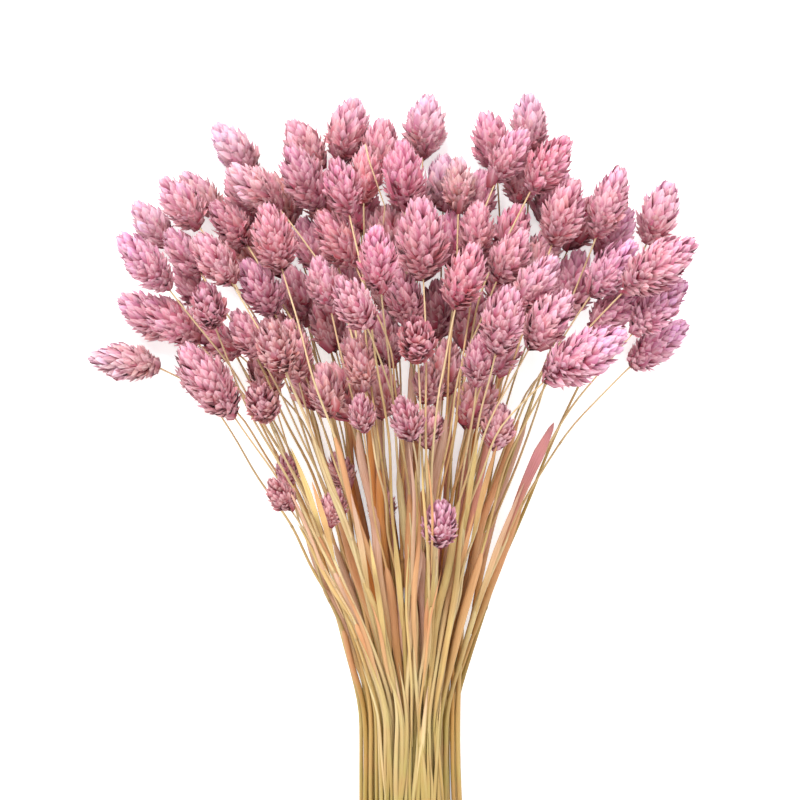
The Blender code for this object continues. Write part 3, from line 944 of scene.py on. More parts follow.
@dataclass
class Skin:
    """Grids of points that together become one mesh, with a tone and a place for each point."""

    verts: list[np.ndarray] = field(default_factory=list)
    faces: list[np.ndarray] = field(default_factory=list)
    tones: list[np.ndarray] = field(default_factory=list)
    places: list[np.ndarray] = field(default_factory=list)
    grain: list[np.ndarray] = field(default_factory=list)
    count: int = 0

    def grids(
        self, points: np.ndarray, tone: np.ndarray, place: np.ndarray, grain: np.ndarray, loop: bool = False
    ) -> None:
        """Adds one or more grids of points, all of the same size.

        Args:
            points: an array of grids by stations by columns by 3, its columns running anticlockwise.
            tone: the linear colour of each point, or one that broadcasts to it.
            place: station share, nearness to the pale edge and chance, or one that broadcasts to it.
            grain: millimetres across and along the fibre, or one that broadcasts to it.
            loop: whether the last column joins the first.
        """
        many, stations, columns = points.shape[:3]
        index = np.arange(many * stations * columns).reshape(many, stations, columns) + self.count
        beside = np.roll(index, -1, axis=2) if loop else index[:, :, 1:]
        here = index if loop else index[:, :, :-1]
        quads = np.stack([here[:, :-1], beside[:, :-1], beside[:, 1:], here[:, 1:]], axis=-1)
        self.faces.append(quads.reshape(-1, 4))
        self.verts.append(points.reshape(-1, 3))
        self.tones.append(np.broadcast_to(tone, points.shape).reshape(-1, 3))
        self.places.append(np.broadcast_to(place, points.shape).reshape(-1, 3))
        self.grain.append(np.broadcast_to(grain, (*points.shape[:3], 2)).reshape(-1, 2))
        self.count += many * stations * columns

    def sleeve(self, grid: np.ndarray, tone: np.ndarray, marks: Marks) -> None:
        """Adds one long piece whose last column joins the first, such as a straw or a blade.

        Args:
            grid: its points from the neck, an array of stations by columns by 3.
            tone: the linear colour of each station, or one for all.
            marks: what its finish reads.
        """
        place = np.empty((*grid.shape[:2], 3))
        place[..., 0] = marks.share[:, None]
        place[..., 1] = marks.edge[None, :]
        place[..., 2] = marks.chance
        grain = np.empty((*grid.shape[:2], 2))
        grain[..., 0] = marks.across[None, :]
        grain[..., 1] = marks.along[:, None]
        self.grids(at_neck(grid)[None], np.atleast_2d(tone)[:, None, :], place, grain, loop=True)

    def piece(self, name: str, finish: bpy.types.Material) -> bpy.types.Object:
        """Makes the mesh and its object.

        Args:
            name: the piece's name.
            finish: its material.

        Returns:
            The object, in the scene.
        """
        verts = np.concatenate(self.verts)
        faces = np.concatenate(self.faces)
        mesh = bpy.data.meshes.new(name)
        mesh.from_pydata(verts.tolist(), [], faces.tolist())
        for label, values in (("tone", self.tones), ("place", self.places)):
            filled = np.ones((len(verts), 4))
            filled[:, :3] = np.concatenate(values)
            made = mesh.color_attributes.new(label, "FLOAT_COLOR", "POINT")
            made.data.foreach_set("color", filled.ravel())
        layer = mesh.uv_layers.new(name="grain")
        layer.data.foreach_set("uv", np.concatenate(self.grain)[faces.ravel()].ravel())
        mesh.shade_smooth()
        mesh.materials.append(finish)
        mesh.update()
        made_object = bpy.data.objects.new(name, mesh)
        bpy.context.scene.collection.objects.link(made_object)
        return made_object


@dataclass(frozen=True)
class HuskLayer:
    """How one layer of husks is cut and stands, as shares of each husk's reach and half breadth; its shade
    is a painted shade factor on the husks' tone.
    """

    number: float
    depth: float
    closing: float
    shade: tuple[float, float, float]
    stations: tuple[float, ...]
    widths: tuple[float, ...]
    keels: tuple[float, ...]
    columns: tuple[float, ...]
    folds: tuple[float, ...]


OUTER_HUSKS = HuskLayer(
    number=1.0,
    depth=1.0,
    closing=0.0,
    shade=(1.0, 1.0, 1.0),
    stations=(0.0, 0.26, 0.54, 0.80, 1.0),
    widths=(0.60, 1.00, 1.00, 0.70, 0.05),
    keels=(0.18, 0.38, 0.44, 0.30, 0.02),
    columns=(-1.0, -0.5, 0.0, 0.5, 1.0),
    folds=(0.0, 0.40, 1.0, 0.40, 0.0),
)
# The inner husks' shade darkens their tone as painted shade, deep under the outer husks.
INNER_HUSKS = HuskLayer(
    number=0.85,
    depth=0.84,
    closing=20.0,
    shade=(0.68, 0.48, 0.53),
    stations=(0.0, 0.5, 1.0),
    widths=(0.80, 1.10, 0.08),
    keels=(0.20, 0.36, 0.02),
    columns=(-1.0, 0.0, 1.0),
    folds=(0.0, 1.0, 0.0),
)


@dataclass(frozen=True)
class HuskStray:
    """How the husks of a head differ: a spread round the middle value, or the ends of a range."""

    turn: float = 0.16
    width: tuple[float, float] = (0.80, 1.15)
    length: tuple[float, float] = (0.85, 1.20)
    opening: float = 7.0
    least_opening: float = 6.0
    curl: tuple[float, float] = (-6.0, 20.0)
    roll: float = 0.42
    rim: tuple[float, float] = (0.90, 1.08)


@dataclass(frozen=True)
class HuskTones:
    """How the husks' tones run along a head, as factors on the head's own tone and as shares."""

    own: tuple[float, float, float] = (1.22, 1.16, 1.19)
    cool: tuple[float, float, float] = (1.02, 1.02, 1.36)
    warm: tuple[float, float, float] = (1.04, 0.98, 0.80)
    foot: tuple[float, float, float] = (0.86, 0.78, 0.78)
    tip: float = 1.04
    strength: tuple[float, float] = (0.84, 1.14)
    cool_at_tip: float = 0.75
    cool_rise: float = 1.5
    warm_at_foot: float = 0.55
    stray: float = 0.22
    brightest: float = 0.92
    swing: float = 0.08
    swing_paces: tuple[float, float] = (0.37, 0.71)
    blue_paces: tuple[float, float] = (0.83, -0.29)


@dataclass(frozen=True)
class HuskDraws:
    """A layer's husks, with one value of each kind for each husk, in metres and radians."""

    tip_share: np.ndarray
    turn: np.ndarray
    half: np.ndarray
    reach: np.ndarray
    opening: np.ndarray
    curl: np.ndarray
    roll: np.ndarray
    rim: np.ndarray


@dataclass
class SeedHead:
    """One egg-shaped head: a core darkened as painted shade, and the papery, keeled husks that overlap on
    it.
    """

    place: HeadPlace
    draw: np.random.Generator
    tint: Tint = field(init=False)
    plumpness: float = field(init=False)
    core_rings: int = 9
    core_sides: int = 10
    core_end_radius: float = 0.0002
    core_painted_shade: tuple[float, float, float] = (0.26, 0.09, 0.12)
    stray: HuskStray = HuskStray()
    tones: HuskTones = HuskTones()
    grain_shift: tuple[float, float] = (40.0, 90.0)

    def __post_init__(self) -> None:
        """Picks the head's tone and plumpness. A head that fills the middle gets a deep tone, partly
        painted shade deep in the pile.
        """
        place = (self.place.row[0], self.place.row[1])
        named = [tint for tint, places in HEADS_BY_TINT.items() if place in places]
        spare = pick(self.draw, SPARE_TINTS_IN_PAINTED_SHADE)
        own_row = self.place.row in (*BOTTOM_TIER, *MIDDLE_TIER, *TOP_TIER)
        self.tint = named[0] if named else Tint.DUSTY if own_row else spare
        self.plumpness = HEAD_PLUMPNESS
        if not own_row:
            self.plumpness = SPARE_HEAD_PLUMPNESS
        elif self.place.length < SMALL_HEAD_LENGTH:
            self.plumpness = SMALL_HEAD_PLUMPNESS
        elif self.place.tier is Tier.BOTTOM and abs(place[0]) < SLENDER_FROM:
            self.plumpness = LOW_HEAD_PLUMPNESS

    def outline(self, share: np.ndarray) -> np.ndarray:
        """The radius that the husks' tips reach.

        Args:
            share: shares of the head's length.

        Returns:
            The radii in metres.
        """
        return np.interp(share, HEAD_SHARES, HEAD_REACHES) * self.place.width / 2 * self.plumpness

    def frame(self) -> tuple[np.ndarray, np.ndarray, np.ndarray]:
        """The head's own directions.

        Returns:
            The axis and two directions square to it.
        """
        axis = np.array(self.place.direction)
        side = np.cross(axis, (0.0, 0.0, 1.0))
        side /= np.linalg.norm(side)
        return axis, side, np.cross(side, axis)

    def build(self, skin: Skin) -> None:
        """Adds the head to a skin.

        Args:
            skin: the skin of the spray's heads.
        """
        self.build_core(skin)
        for layer in (INNER_HUSKS, OUTER_HUSKS):
            self.build_husks(skin, layer)

    def build_core(self, skin: Skin) -> None:
        """Adds the core that closes the gaps between the husks, darkened as painted shade for the shade
        deep between them.

        Args:
            skin: the skin of the spray's heads.
        """
        axis, side, up = self.frame()
        shares = np.linspace(0.0, 1.0, self.core_rings)
        turn = np.linspace(0.0, 2 * np.pi, self.core_sides, endpoint=False)
        radii = self.outline(shares) * CORE_SHARE
        radii[0] = radii[-1] = self.core_end_radius
        ring = np.cos(turn)[:, None] * side + np.sin(turn)[:, None] * up
        stretch = np.interp(shares, (0.0, 1.0), CORE_ENDS) * self.place.length
        spine = np.array(self.place.base) + axis * stretch[:, None]
        points = spine[:, None, :] + ring[None, :, :] * radii[:, None, None]
        # Painted shade: the core takes the head's tone darkened, and its station share of 0 also gives it
        # the husk finish's full painted shade at the foot.
        deep = linear(self.tint.value) * np.array(self.core_painted_shade)
        skin.grids(at_neck(points)[None], deep, np.array((0.0, 0.0, 0.5)), np.zeros(2), loop=True)

    def tip_shares(self, layer: HuskLayer) -> np.ndarray:
        """Where along the head the tips of a layer's husks stand, evenly over its surface.

        Args:
            layer: how the layer is cut and stands.

        Returns:
            Their shares of the head's length, from the base on.
        """
        length = self.place.length
        full = HUSKS_PER_HIDDEN_HEAD if self.place.tier is Tier.BOTTOM else HUSKS_PER_HEAD
        power = SMALL_HEAD_POWER if length < SMALL_HEAD_LENGTH else HUSK_NUMBER_POWER
        count = int(full * layer.number * (length / HUSK_HEAD_LENGTH) ** power)
        table = np.linspace(0.0, 1.0, OUTLINE_STEPS)
        weight = np.cumsum(self.outline(table) + TIP_ROUNDING)
        order = (np.arange(count) + 0.5) / count
        shares = np.interp(order, weight / weight[-1], table) * TIP_SPAN + TIP_START
        return np.concatenate([shares, np.linspace(*TIP_TUFT, TIP_HUSKS)])

    def draw_husks(self, layer: HuskLayer) -> HuskDraws:
        """Draws the sizes and the angles of a layer's husks.

        Args:
            layer: how the layer is cut and stands.

        Returns:
            The husks.
        """
        draw, stray, length = self.draw, self.stray, self.place.length
        tip_share = self.tip_shares(layer)
        count = len(tip_share)
        turn = np.arange(count) * math.pi * SPIRAL_STEP + draw.normal(0.0, stray.turn, count)
        plumpness = min(self.plumpness, SMALL_HEAD_PLUMPNESS)
        area = HUSK_AREA_SHARE * math.pi * self.place.width * plumpness / 2 * length / count
        swell = HUSK_SWELL[0] + HUSK_SWELL[1] * np.sin(np.pi * np.minimum(tip_share, 1.0))
        half = 0.5 * HUSK_COVER * math.sqrt(area) * swell * draw.uniform(*stray.width, count)
        reach = 2 * half * HUSK_LENGTH_SHARE * draw.uniform(*stray.length, count)
        opening = np.interp(tip_share, OPENING_SHARES, OPENINGS) - layer.closing
        opening = opening + draw.normal(0.0, stray.opening, count)
        opening = np.radians(np.maximum(opening, stray.least_opening))
        curl = np.radians(draw.uniform(*stray.curl, count))
        roll = draw.normal(0.0, stray.roll, count)
        rim = self.outline(tip_share) * draw.uniform(*stray.rim, count) * layer.depth
        short = np.minimum(reach, rim / np.sin(opening))
        reach = np.where(tip_share < BASE_SHARE, short, reach)
        return HuskDraws(tip_share, turn, half, reach, opening, curl, roll, rim)

    def husk_points(self, husks: HuskDraws, layer: HuskLayer) -> np.ndarray:
        """The points of a layer's husks, each folded along its keel and curled along its length.

        Args:
            husks: the husks.
            layer: how the layer is cut and stands.

        Returns:
            An array of husks by stations by columns by 3.
        """
        axis, side, up = self.frame()
        radial = np.cos(husks.turn)[:, None] * side + np.sin(husks.turn)[:, None] * up
        level = np.cross(axis, radial)
        stations = np.array(layer.stations)
        lean = husks.opening[:, None] + husks.curl[:, None] * (0.5 - stations[None, :]) * 2
        forward = np.cos(lean)[..., None] * axis + np.sin(lean)[..., None] * radial[:, None, :]
        outward = np.cos(lean)[..., None] * radial[:, None, :] - np.sin(lean)[..., None] * axis
        steps = np.diff(stations)[None, :, None] * (forward[:, 1:] + forward[:, :-1]) / 2
        run = np.concatenate([np.zeros((len(lean), 1, 3)), np.cumsum(steps, axis=1)], axis=1)
        run = run * husks.reach[:, None, None]
        along_axis = axis * (husks.tip_share * self.place.length)[:, None]
        tip = np.array(self.place.base) + along_axis + radial * husks.rim[:, None]
        spine = tip[:, None, :] + run - run[:, -1:, :]
        cos_roll, sin_roll = np.cos(husks.roll)[:, None, None], np.sin(husks.roll)[:, None, None]
        rolled = level[:, None, :] * cos_roll + outward * sin_roll
        normal = outward * cos_roll - level[:, None, :] * sin_roll
        wide = husks.half[:, None] * np.array(layer.widths)
        keel = husks.half[:, None] * np.array(layer.keels)
        lines = [
            spine + rolled * (wide * column)[..., None] + normal * (keel * fold)[..., None]
            for column, fold in zip(layer.columns, layer.folds)
        ]
        return np.stack(lines, axis=2)

    def build_husks(self, skin: Skin, layer: HuskLayer) -> None:
        """Adds a layer of husks in a spiral from the base to the tip, each as two flanks with a sharp keel.

        Args:
            skin: the skin of the spray's heads.
            layer: how the layer is cut and stands.
        """
        husks = self.draw_husks(layer)
        points = at_neck(self.husk_points(husks, layer))
        # The layer's shade factor: painted shade on the inner husks.
        tone = self.husk_tones(husks.tip_share) * np.array(layer.shade)
        tones = np.broadcast_to(tone[:, None, None, :], points.shape)
        columns = np.array(layer.columns)
        share = np.broadcast_to(np.array(layer.stations)[None, :, None], points.shape[:3])
        edge = np.broadcast_to(1 - np.abs(columns), points.shape[:3])
        chance = np.broadcast_to(self.draw.uniform(0.0, 1.0, (len(tone), 1, 1)), points.shape[:3])
        place = np.stack([share, edge, chance], axis=-1)
        wide = husks.half[:, None] * np.array(layer.widths)
        across = columns[None, None, :] * wide[:, :, None] * TO_MM + chance * self.grain_shift[0]
        along_husk = share * husks.reach[:, None, None] * TO_MM + chance * self.grain_shift[1]
        grain = np.stack([across, along_husk], axis=-1)
        ridge = len(columns) // 2
        for flank in (slice(0, ridge + 1), slice(ridge, None)):
            cut = (slice(None), slice(None), flank)
            skin.grids(points[cut], tones[cut], place[cut], grain[cut])

    def swing(self, paces: tuple[float, float]) -> float:
        """A factor that swings a little from head to head with its place in the fan."""
        return 1 + self.tones.swing * math.sin(self.place.row[0] * paces[0] + self.place.row[1] * paces[1])

    def husk_tones(self, tip_share: np.ndarray) -> np.ndarray:
        """The tone of each husk.

        Args:
            tip_share: how far along the head each husk's tip stands.

        Returns:
            Their linear colours.
        """
        draw, tones = self.draw, self.tones
        one_each = (len(tip_share), 1)
        own = np.array(tones.own) * np.array((1.0, 1.0, self.swing(tones.blue_paces)))
        base = linear(self.tint.value) * own * self.swing(tones.swing_paces)
        cool = base * np.array(tones.cool)
        warm = base * np.array(tones.warm)
        tip = np.minimum(tip_share, 1.0)[:, None]
        tone = np.broadcast_to(base, (len(tip_share), 3)) * draw.uniform(*tones.strength, one_each)
        cool_share = tones.cool_at_tip * tip**tones.cool_rise + draw.normal(0.0, tones.stray, one_each)
        warm_share = tones.warm_at_foot * (1 - tip) + draw.normal(0.0, tones.stray, one_each)
        tone = blend(tone, cool, np.clip(cool_share, 0.0, 1.0))
        tone = blend(tone, warm, np.clip(warm_share, 0.0, 1.0))
        tone = tone * (np.array(tones.foot) * (1 - tip) ** 2 + tones.tip * (1 - (1 - tip) ** 2))
        return np.clip(tone, 0.0, tones.brightest)


@dataclass
class Route:
    """The smooth line that a straw or a blade follows, with its frame at each station."""

    points: np.ndarray
    side: np.ndarray = field(init=False)
    up: np.ndarray = field(init=False)
    run: np.ndarray = field(init=False)

    def __post_init__(self) -> None:
        """Works out the frames and the distance run."""
        ahead = np.gradient(self.points, axis=0)
        ahead /= np.linalg.norm(ahead, axis=1)[:, None]
        side = np.cross(ahead, (0.0, 0.0, 1.0))
        self.side = side / np.linalg.norm(side, axis=1)[:, None]
        self.up = np.cross(self.side, ahead)
        self.run = run_along(self.points)

    def at(self, run: np.ndarray) -> tuple[np.ndarray, np.ndarray, np.ndarray]:
        """The line's points and frames at some distances.

        Args:
            run: the distances from the start.

        Returns:
            The points, the level sides and the upward directions.
        """
        points, side, up = (on_line(run, self.run, values) for values in (self.points, self.side, self.up))
        return points, side, up


def tube(points: np.ndarray, side: np.ndarray, up: np.ndarray, radii: np.ndarray) -> np.ndarray:
    """Rings round a line, as a straw has.

    Args:
        points: the line's points.
        side: the level side at each.
        up: the upward direction at each.
        radii: the ring's radius at each.

    Returns:
        A grid of stations by columns by 3.
    """
    turn = np.linspace(0.0, 2 * np.pi, STRAW_SIDES, endpoint=False)
    ring = np.cos(turn)[None, :, None] * side[:, None, :] - np.sin(turn)[None, :, None] * up[:, None, :]
    return points[:, None, :] + ring * radii[:, None, None]


def round_grain(sides: int) -> np.ndarray:
    """How far round a straw each of its sides is from the left one, the same over and under it."""
    return np.abs(np.linspace(0.0, 2 * np.pi, sides, endpoint=False) - math.pi)


def thin_sheet(route: Route, across: np.ndarray, lift: np.ndarray, thickness: float) -> np.ndarray:
    """A thin sheet along a line: its upper side, and its underside the other way round.

    Args:
        route: its middle line.
        across: how far each column is to the side, at each station.
        lift: how far each column is over the line, at each station or one row for all.
        thickness: the sheet's thickness.

    Returns:
        A grid of stations by columns by 3.
    """
    top = route.points[:, None, :] + route.side[:, None, :] * across[..., None]
    top = top + route.up[:, None, :] * lift[..., None]
    under = top[:, ::-1] - route.up[:, None, :] * thickness
    return np.concatenate([top, under], axis=1)[:, ::-1]


@dataclass(frozen=True)
class StrawShades:
    """How a straw's tone runs from its cut end to its head, as shares of its length and of each tone. The
    warm band round the middle is partly a blush and partly painted shade between the stems, and the cut
    end's hollow darkens in painted shade.
    """

    green_start: float = 2.3
    green_fall: float = 3.4
    green_most: float = 0.94
    pale_from: float = 0.68
    pale_rise: float = 4.0
    pale_most: float = 0.75
    blush_and_painted_shade_middle: float = 0.63
    blush_and_painted_shade_height: float = 1.4
    blush_and_painted_shade_fall: float = 7.0
    blush_and_painted_shade_range: tuple[float, float] = (0.2, 1.0)
    joint_shade: float = 0.35
    cut_colour: tuple[float, float, float] = (120, 84, 44)
    hollow_painted_shade: tuple[float, float, float] = (0.5, 0.6, 1.0)


@dataclass
class Straw:
    """One stem: a round, slightly wavy straw with joints, hollow where it is cut."""

    culm: Culm
    draw: np.random.Generator
    route: Route = field(init=False)
    neck_run: float = field(init=False)
    thickness: float = field(init=False)
    tone: StrawTone = field(init=False)
    shades: StrawShades = StrawShades()
    sink: float = 0.0035
    line_step: float = 0.003
    line_rounding: int = 14
    phases: tuple[float, float] = (0.0, 6.28)
    wave_paces: tuple[float, float] = (1.6, 3.6)
    sway_paces: tuple[float, float] = (38.0, 70.0)
    sway_from: float = 0.12
    sway_rise: float = 0.06
    least_sway: float = 0.15
    sway_end: float = 0.25
    top_sway: float = 2.0
    thicknesses: tuple[float, float] = (0.66, 1.02)
    joints_from: tuple[float, float] = (0.04, 0.24)
    joints_to: tuple[float, float] = (0.16, 0.36)
    joint_reach: float = 0.0009
    joint_rings: tuple[float, ...] = (-0.0016, -0.0007, 0.0, 0.0007, 0.0016)
    joint_swell: float = 0.22
    fan_overlap: float = 0.01
    fan_taper: float = 1.5
    uneven: float = 0.03
    uneven_pace: float = 900.0
    uneven_phases: tuple[float, float] = (0.0, 6.0)
    cut_radius: float = 0.0001
    cut_depth: float = 0.22
    cut_run: float = 0.003
    grain_pitch: float = 1.3
    grain_shift: tuple[float, float] = (40.0, 700.0)

    def __post_init__(self) -> None:
        """Finds the line through the culm's points, lets it wave a little and picks a tone."""
        knots = np.array([tuple(point) for point in self.culm.points])
        top = knots[-1] + np.array(self.culm.head.direction) * self.sink
        knots = np.concatenate([knots, top[None]])
        steps = run_along(knots)
        fine = np.arange(0.0, steps[-1], self.line_step)
        line = on_line(fine, steps, knots)
        round_off(line, self.line_rounding)
        self.neck_run = float(steps[1])
        fan = np.clip((fine - steps[1]) / (steps[-1] - steps[1]), 0.0, 1.0)
        wave = np.sin(fan * math.pi) * STRAW_WAVE
        phase, pace = self.draw.uniform(*self.phases), self.draw.uniform(*self.wave_paces)
        line[:, 0] += wave * np.sin(phase + pace * fan * 2 * math.pi)
        on_top = self.culm.head.tier is Tier.TOP
        low = np.clip(1 - fan / self.sway_end, 0.0, 1.0)
        low = low * np.clip((fine - self.sway_from) / self.sway_rise, self.least_sway, 1.0)
        low = low * STRAW_SWAY * (self.top_sway if on_top else 1.0)
        line[:, 0] += low * np.sin(phase * 2 + fine * self.draw.uniform(*self.sway_paces))
        self.thickness = float(self.draw.uniform(*self.thicknesses))
        self.route = Route(line)
        self.tone = pick(self.draw, TOP_STRAW_TONES if on_top else LOWER_STRAW_TONES)

    def stations(self) -> tuple[np.ndarray, np.ndarray]:
        """Where the straw's rings stand.

        Returns:
            The distances from the cut end, and each ring's swelling at a joint.
        """
        total = self.route.run[-1]
        low = np.arange(0.0, self.neck_run - self.fan_overlap, STRAW_STEP_LOW)
        fan = np.arange(self.neck_run - self.fan_overlap, total, STRAW_STEP_FAN)
        joints = self.draw.uniform(self.joints_from, self.joints_to)
        close = np.concatenate([joint + np.array(self.joint_rings) for joint in joints])
        runs = np.unique(np.concatenate([low, fan, close, [total]]))
        swell = np.zeros(len(runs))
        for joint in joints:
            swell += np.exp(-(((runs - joint) / self.joint_reach) ** 2))
        return runs, swell

    def tones_along(self, runs: np.ndarray, swell: np.ndarray) -> np.ndarray:
        """The straw's tone at each ring.

        Args:
            runs: the rings' distances from the cut end.
            swell: the swelling at the joints.

        Returns:
            The linear colours.
        """
        shades, tier = self.shades, self.culm.head.tier
        # The warm band round the middle: partly blush, and stronger and ochre low in the pile as painted
        # shade between the stems.
        warm = linear(StrawTone.OCHRE.value if tier is Tier.BOTTOM else StrawTone.PEACH.value)
        share = runs[:, None] / self.route.run[-1]
        low = self.greenness(runs)[:, None]
        high = np.clip((share - shades.pale_from) * shades.pale_rise, 0.0, 1.0) * shades.pale_most
        most = BLUSH_AND_PAINTED_SHADE_BY_TIER[tier] * (EDGE_BLUSH_AND_PAINTED_SHADE if self.at_edge() else 1.0)
        blush_and_painted_shade = np.clip(shades.blush_and_painted_shade_height - np.abs(share - shades.blush_and_painted_shade_middle) * shades.blush_and_painted_shade_fall, 0.0, 1.0)
        blush_and_painted_shade = blush_and_painted_shade * float(self.draw.uniform(*shades.blush_and_painted_shade_range)) * most
        tone = blend(linear(self.tone.value), linear(StrawTone.GREENISH.value), low)
        tone = blend(tone, linear(StrawTone.CREAM.value), high)
        tone = blend(tone, warm, blush_and_painted_shade)
        return tone * (1 - shades.joint_shade * np.clip(swell, 0, 1)[:, None])

    def plain_tones(self, runs: np.ndarray) -> np.ndarray:
        """The straw's tone at some distances from its cut end, away from its joints."""
        return self.tones_along(runs, np.zeros(len(runs)))

    def at_edge(self) -> bool:
        """Whether the straw passes the neck near the bunch's left or right edge."""
        return abs(self.culm.slot_x) > EDGE_SLOT_X

    def leans_out(self) -> bool:
        """Whether the straw's head is far to the left or right."""
        return abs(self.culm.head.azimuth()) > EDGE_TURN

    def greenness(self, runs: np.ndarray) -> np.ndarray:
        """How much of the greener foot's tone a straw has at some distances from its cut end."""
        fall = runs / self.route.run[-1] * self.shades.green_fall
        return np.clip(self.shades.green_start - fall, 0.0, 1.0) * self.shades.green_most

    def build(self, skin: Skin) -> None:
        """Adds the straw to a skin, with the hollow in its cut end.

        Args:
            skin: the skin of the spray's stems.
        """
        runs, swell = self.stations()
        points, side, up = self.route.at(runs)
        total = self.route.run[-1]
        fan = np.clip((runs - self.neck_run) / (total - self.neck_run), 0.0, 1.0)
        foot = self.culm.radius * STEM_ROUND_SHARE * self.thickness
        wide = STRAW_TOP_RADIUS + (foot - STRAW_TOP_RADIUS) * (1 - fan) ** self.fan_taper
        phase = self.draw.uniform(*self.uneven_phases)
        uneven = self.uneven * np.sin(runs * self.uneven_pace + phase)
        wide = wide * (1 + self.joint_swell * swell) * (1 + uneven)
        tone = self.tones_along(runs, swell)
        hollow = wide[0] * STRAW_HOLLOW
        radii = np.concatenate([[self.cut_radius, hollow, hollow], wide])
        bottom = points[0] + (points[1] - points[0]) * self.cut_depth
        points = np.concatenate([np.array([bottom, bottom, points[0]]), points])
        side = np.concatenate([side[:1]] * 3 + [side])
        up = np.concatenate([up[:1]] * 3 + [up])
        # Painted shade: the cut end's hollow darkens step by step towards its bottom.
        dark = linear(self.shades.cut_colour)
        tone = np.concatenate([[dark * depth for depth in self.shades.hollow_painted_shade], tone])
        runs = np.concatenate([[self.cut_run, self.cut_run, 0.0], runs])
        chance = float(self.draw.uniform())
        marks = Marks(
            share=runs / total,
            edge=np.zeros(STRAW_SIDES),
            chance=chance,
            across=round_grain(STRAW_SIDES) * self.grain_pitch + chance * self.grain_shift[0],
            along=runs * TO_MM + chance * self.grain_shift[1],
        )
        skin.sleeve(tube(points, side, up, radii), tone, marks)


@dataclass
class Sheath:
    """A leaf sheath that wraps a straw: a flattened sleeve that swells and then closes on the straw."""

    straw: Straw
    draw: np.random.Generator
    start: float = field(init=False)
    length: float = field(init=False)
    half_width: float = field(init=False)
    tone: StrawTone = field(init=False)
    starts: tuple[float, float] = (-0.04, 0.22)
    lengths: tuple[float, float] = (0.34, 0.56)
    narrow: tuple[float, float] = (0.0013, 0.0021)
    broad: tuple[float, float] = (0.0015, 0.0025)
    stations: int = 18
    sides: int = 12
    hug: float = 0.98
    cloth: float = 0.0001
    loft: float = 0.0003
    end_share: float = 0.60
    fade: float = 2.0
    fade_power: float = 0.7
    strengths: tuple[float, float] = (0.88, 1.06)
    grain_pitch: float = 1.6
    grain_shift: tuple[float, float] = (50.0, 900.0)

    def __post_init__(self) -> None:
        """Draws the sheath's place, size and tone."""
        fan_length = float(self.straw.route.run[-1]) - self.straw.neck_run
        self.start = self.straw.neck_run + fan_length * float(self.draw.uniform(*self.starts))
        self.length = fan_length * float(self.draw.uniform(*self.lengths))
        if self.straw.leans_out():
            self.length *= OUTER_SHEATH_LENGTH
        in_front = self.straw.culm.head.tier is Tier.TOP or self.straw.at_edge() or self.straw.leans_out()
        self.half_width = float(self.draw.uniform(*(self.narrow if in_front else self.broad)))
        # Sheaths lower in the pile pick the deeper tones, partly as painted shade.
        self.tone = pick(self.draw, FRONT_SHEATH_TONES if in_front else BACK_SHEATH_TONES)

    def build(self, skin: Skin) -> None:
        """Adds the sheath to a skin.

        Args:
            skin: the skin of the spray's stems.
        """
        share = np.linspace(0.0, 1.0, self.stations)
        runs = self.start + share * self.length
        points, side, up = self.straw.route.at(runs)
        stem = self.straw.culm.radius * STEM_ROUND_SHARE * self.straw.thickness
        swell = np.interp(share, SHEATH_SHARES, SHEATH_SWELLS)
        wide = stem * self.hug + self.cloth * swell + (self.half_width - stem) * swell
        thick = stem * self.hug + self.loft * swell
        wide[-1] = thick[-1] = stem * self.end_share
        turn = np.linspace(0.0, 2 * np.pi, self.sides, endpoint=False)
        across = np.cos(turn)[None, :, None] * side[:, None, :] * wide[:, None, None]
        rise = -np.sin(turn)[None, :, None] * up[:, None, :] * thick[:, None, None]
        foot = self.straw.plain_tones(runs)
        low = np.clip(1 - share * self.fade, 0.0, 1.0) ** self.fade_power
        low = np.maximum(low, self.straw.greenness(runs))[:, None]
        tone = blend(linear(self.tone.value), foot, low) * float(self.draw.uniform(*self.strengths))
        chance = float(self.draw.uniform())
        marks = Marks(
            share=share,
            edge=np.abs(np.cos(turn)),
            chance=chance,
            across=round_grain(self.sides) * self.grain_pitch + chance * self.grain_shift[0],
            along=runs * TO_MM + chance * self.grain_shift[1],
        )
        skin.sleeve(points[:, None, :] + across + rise, tone, marks)


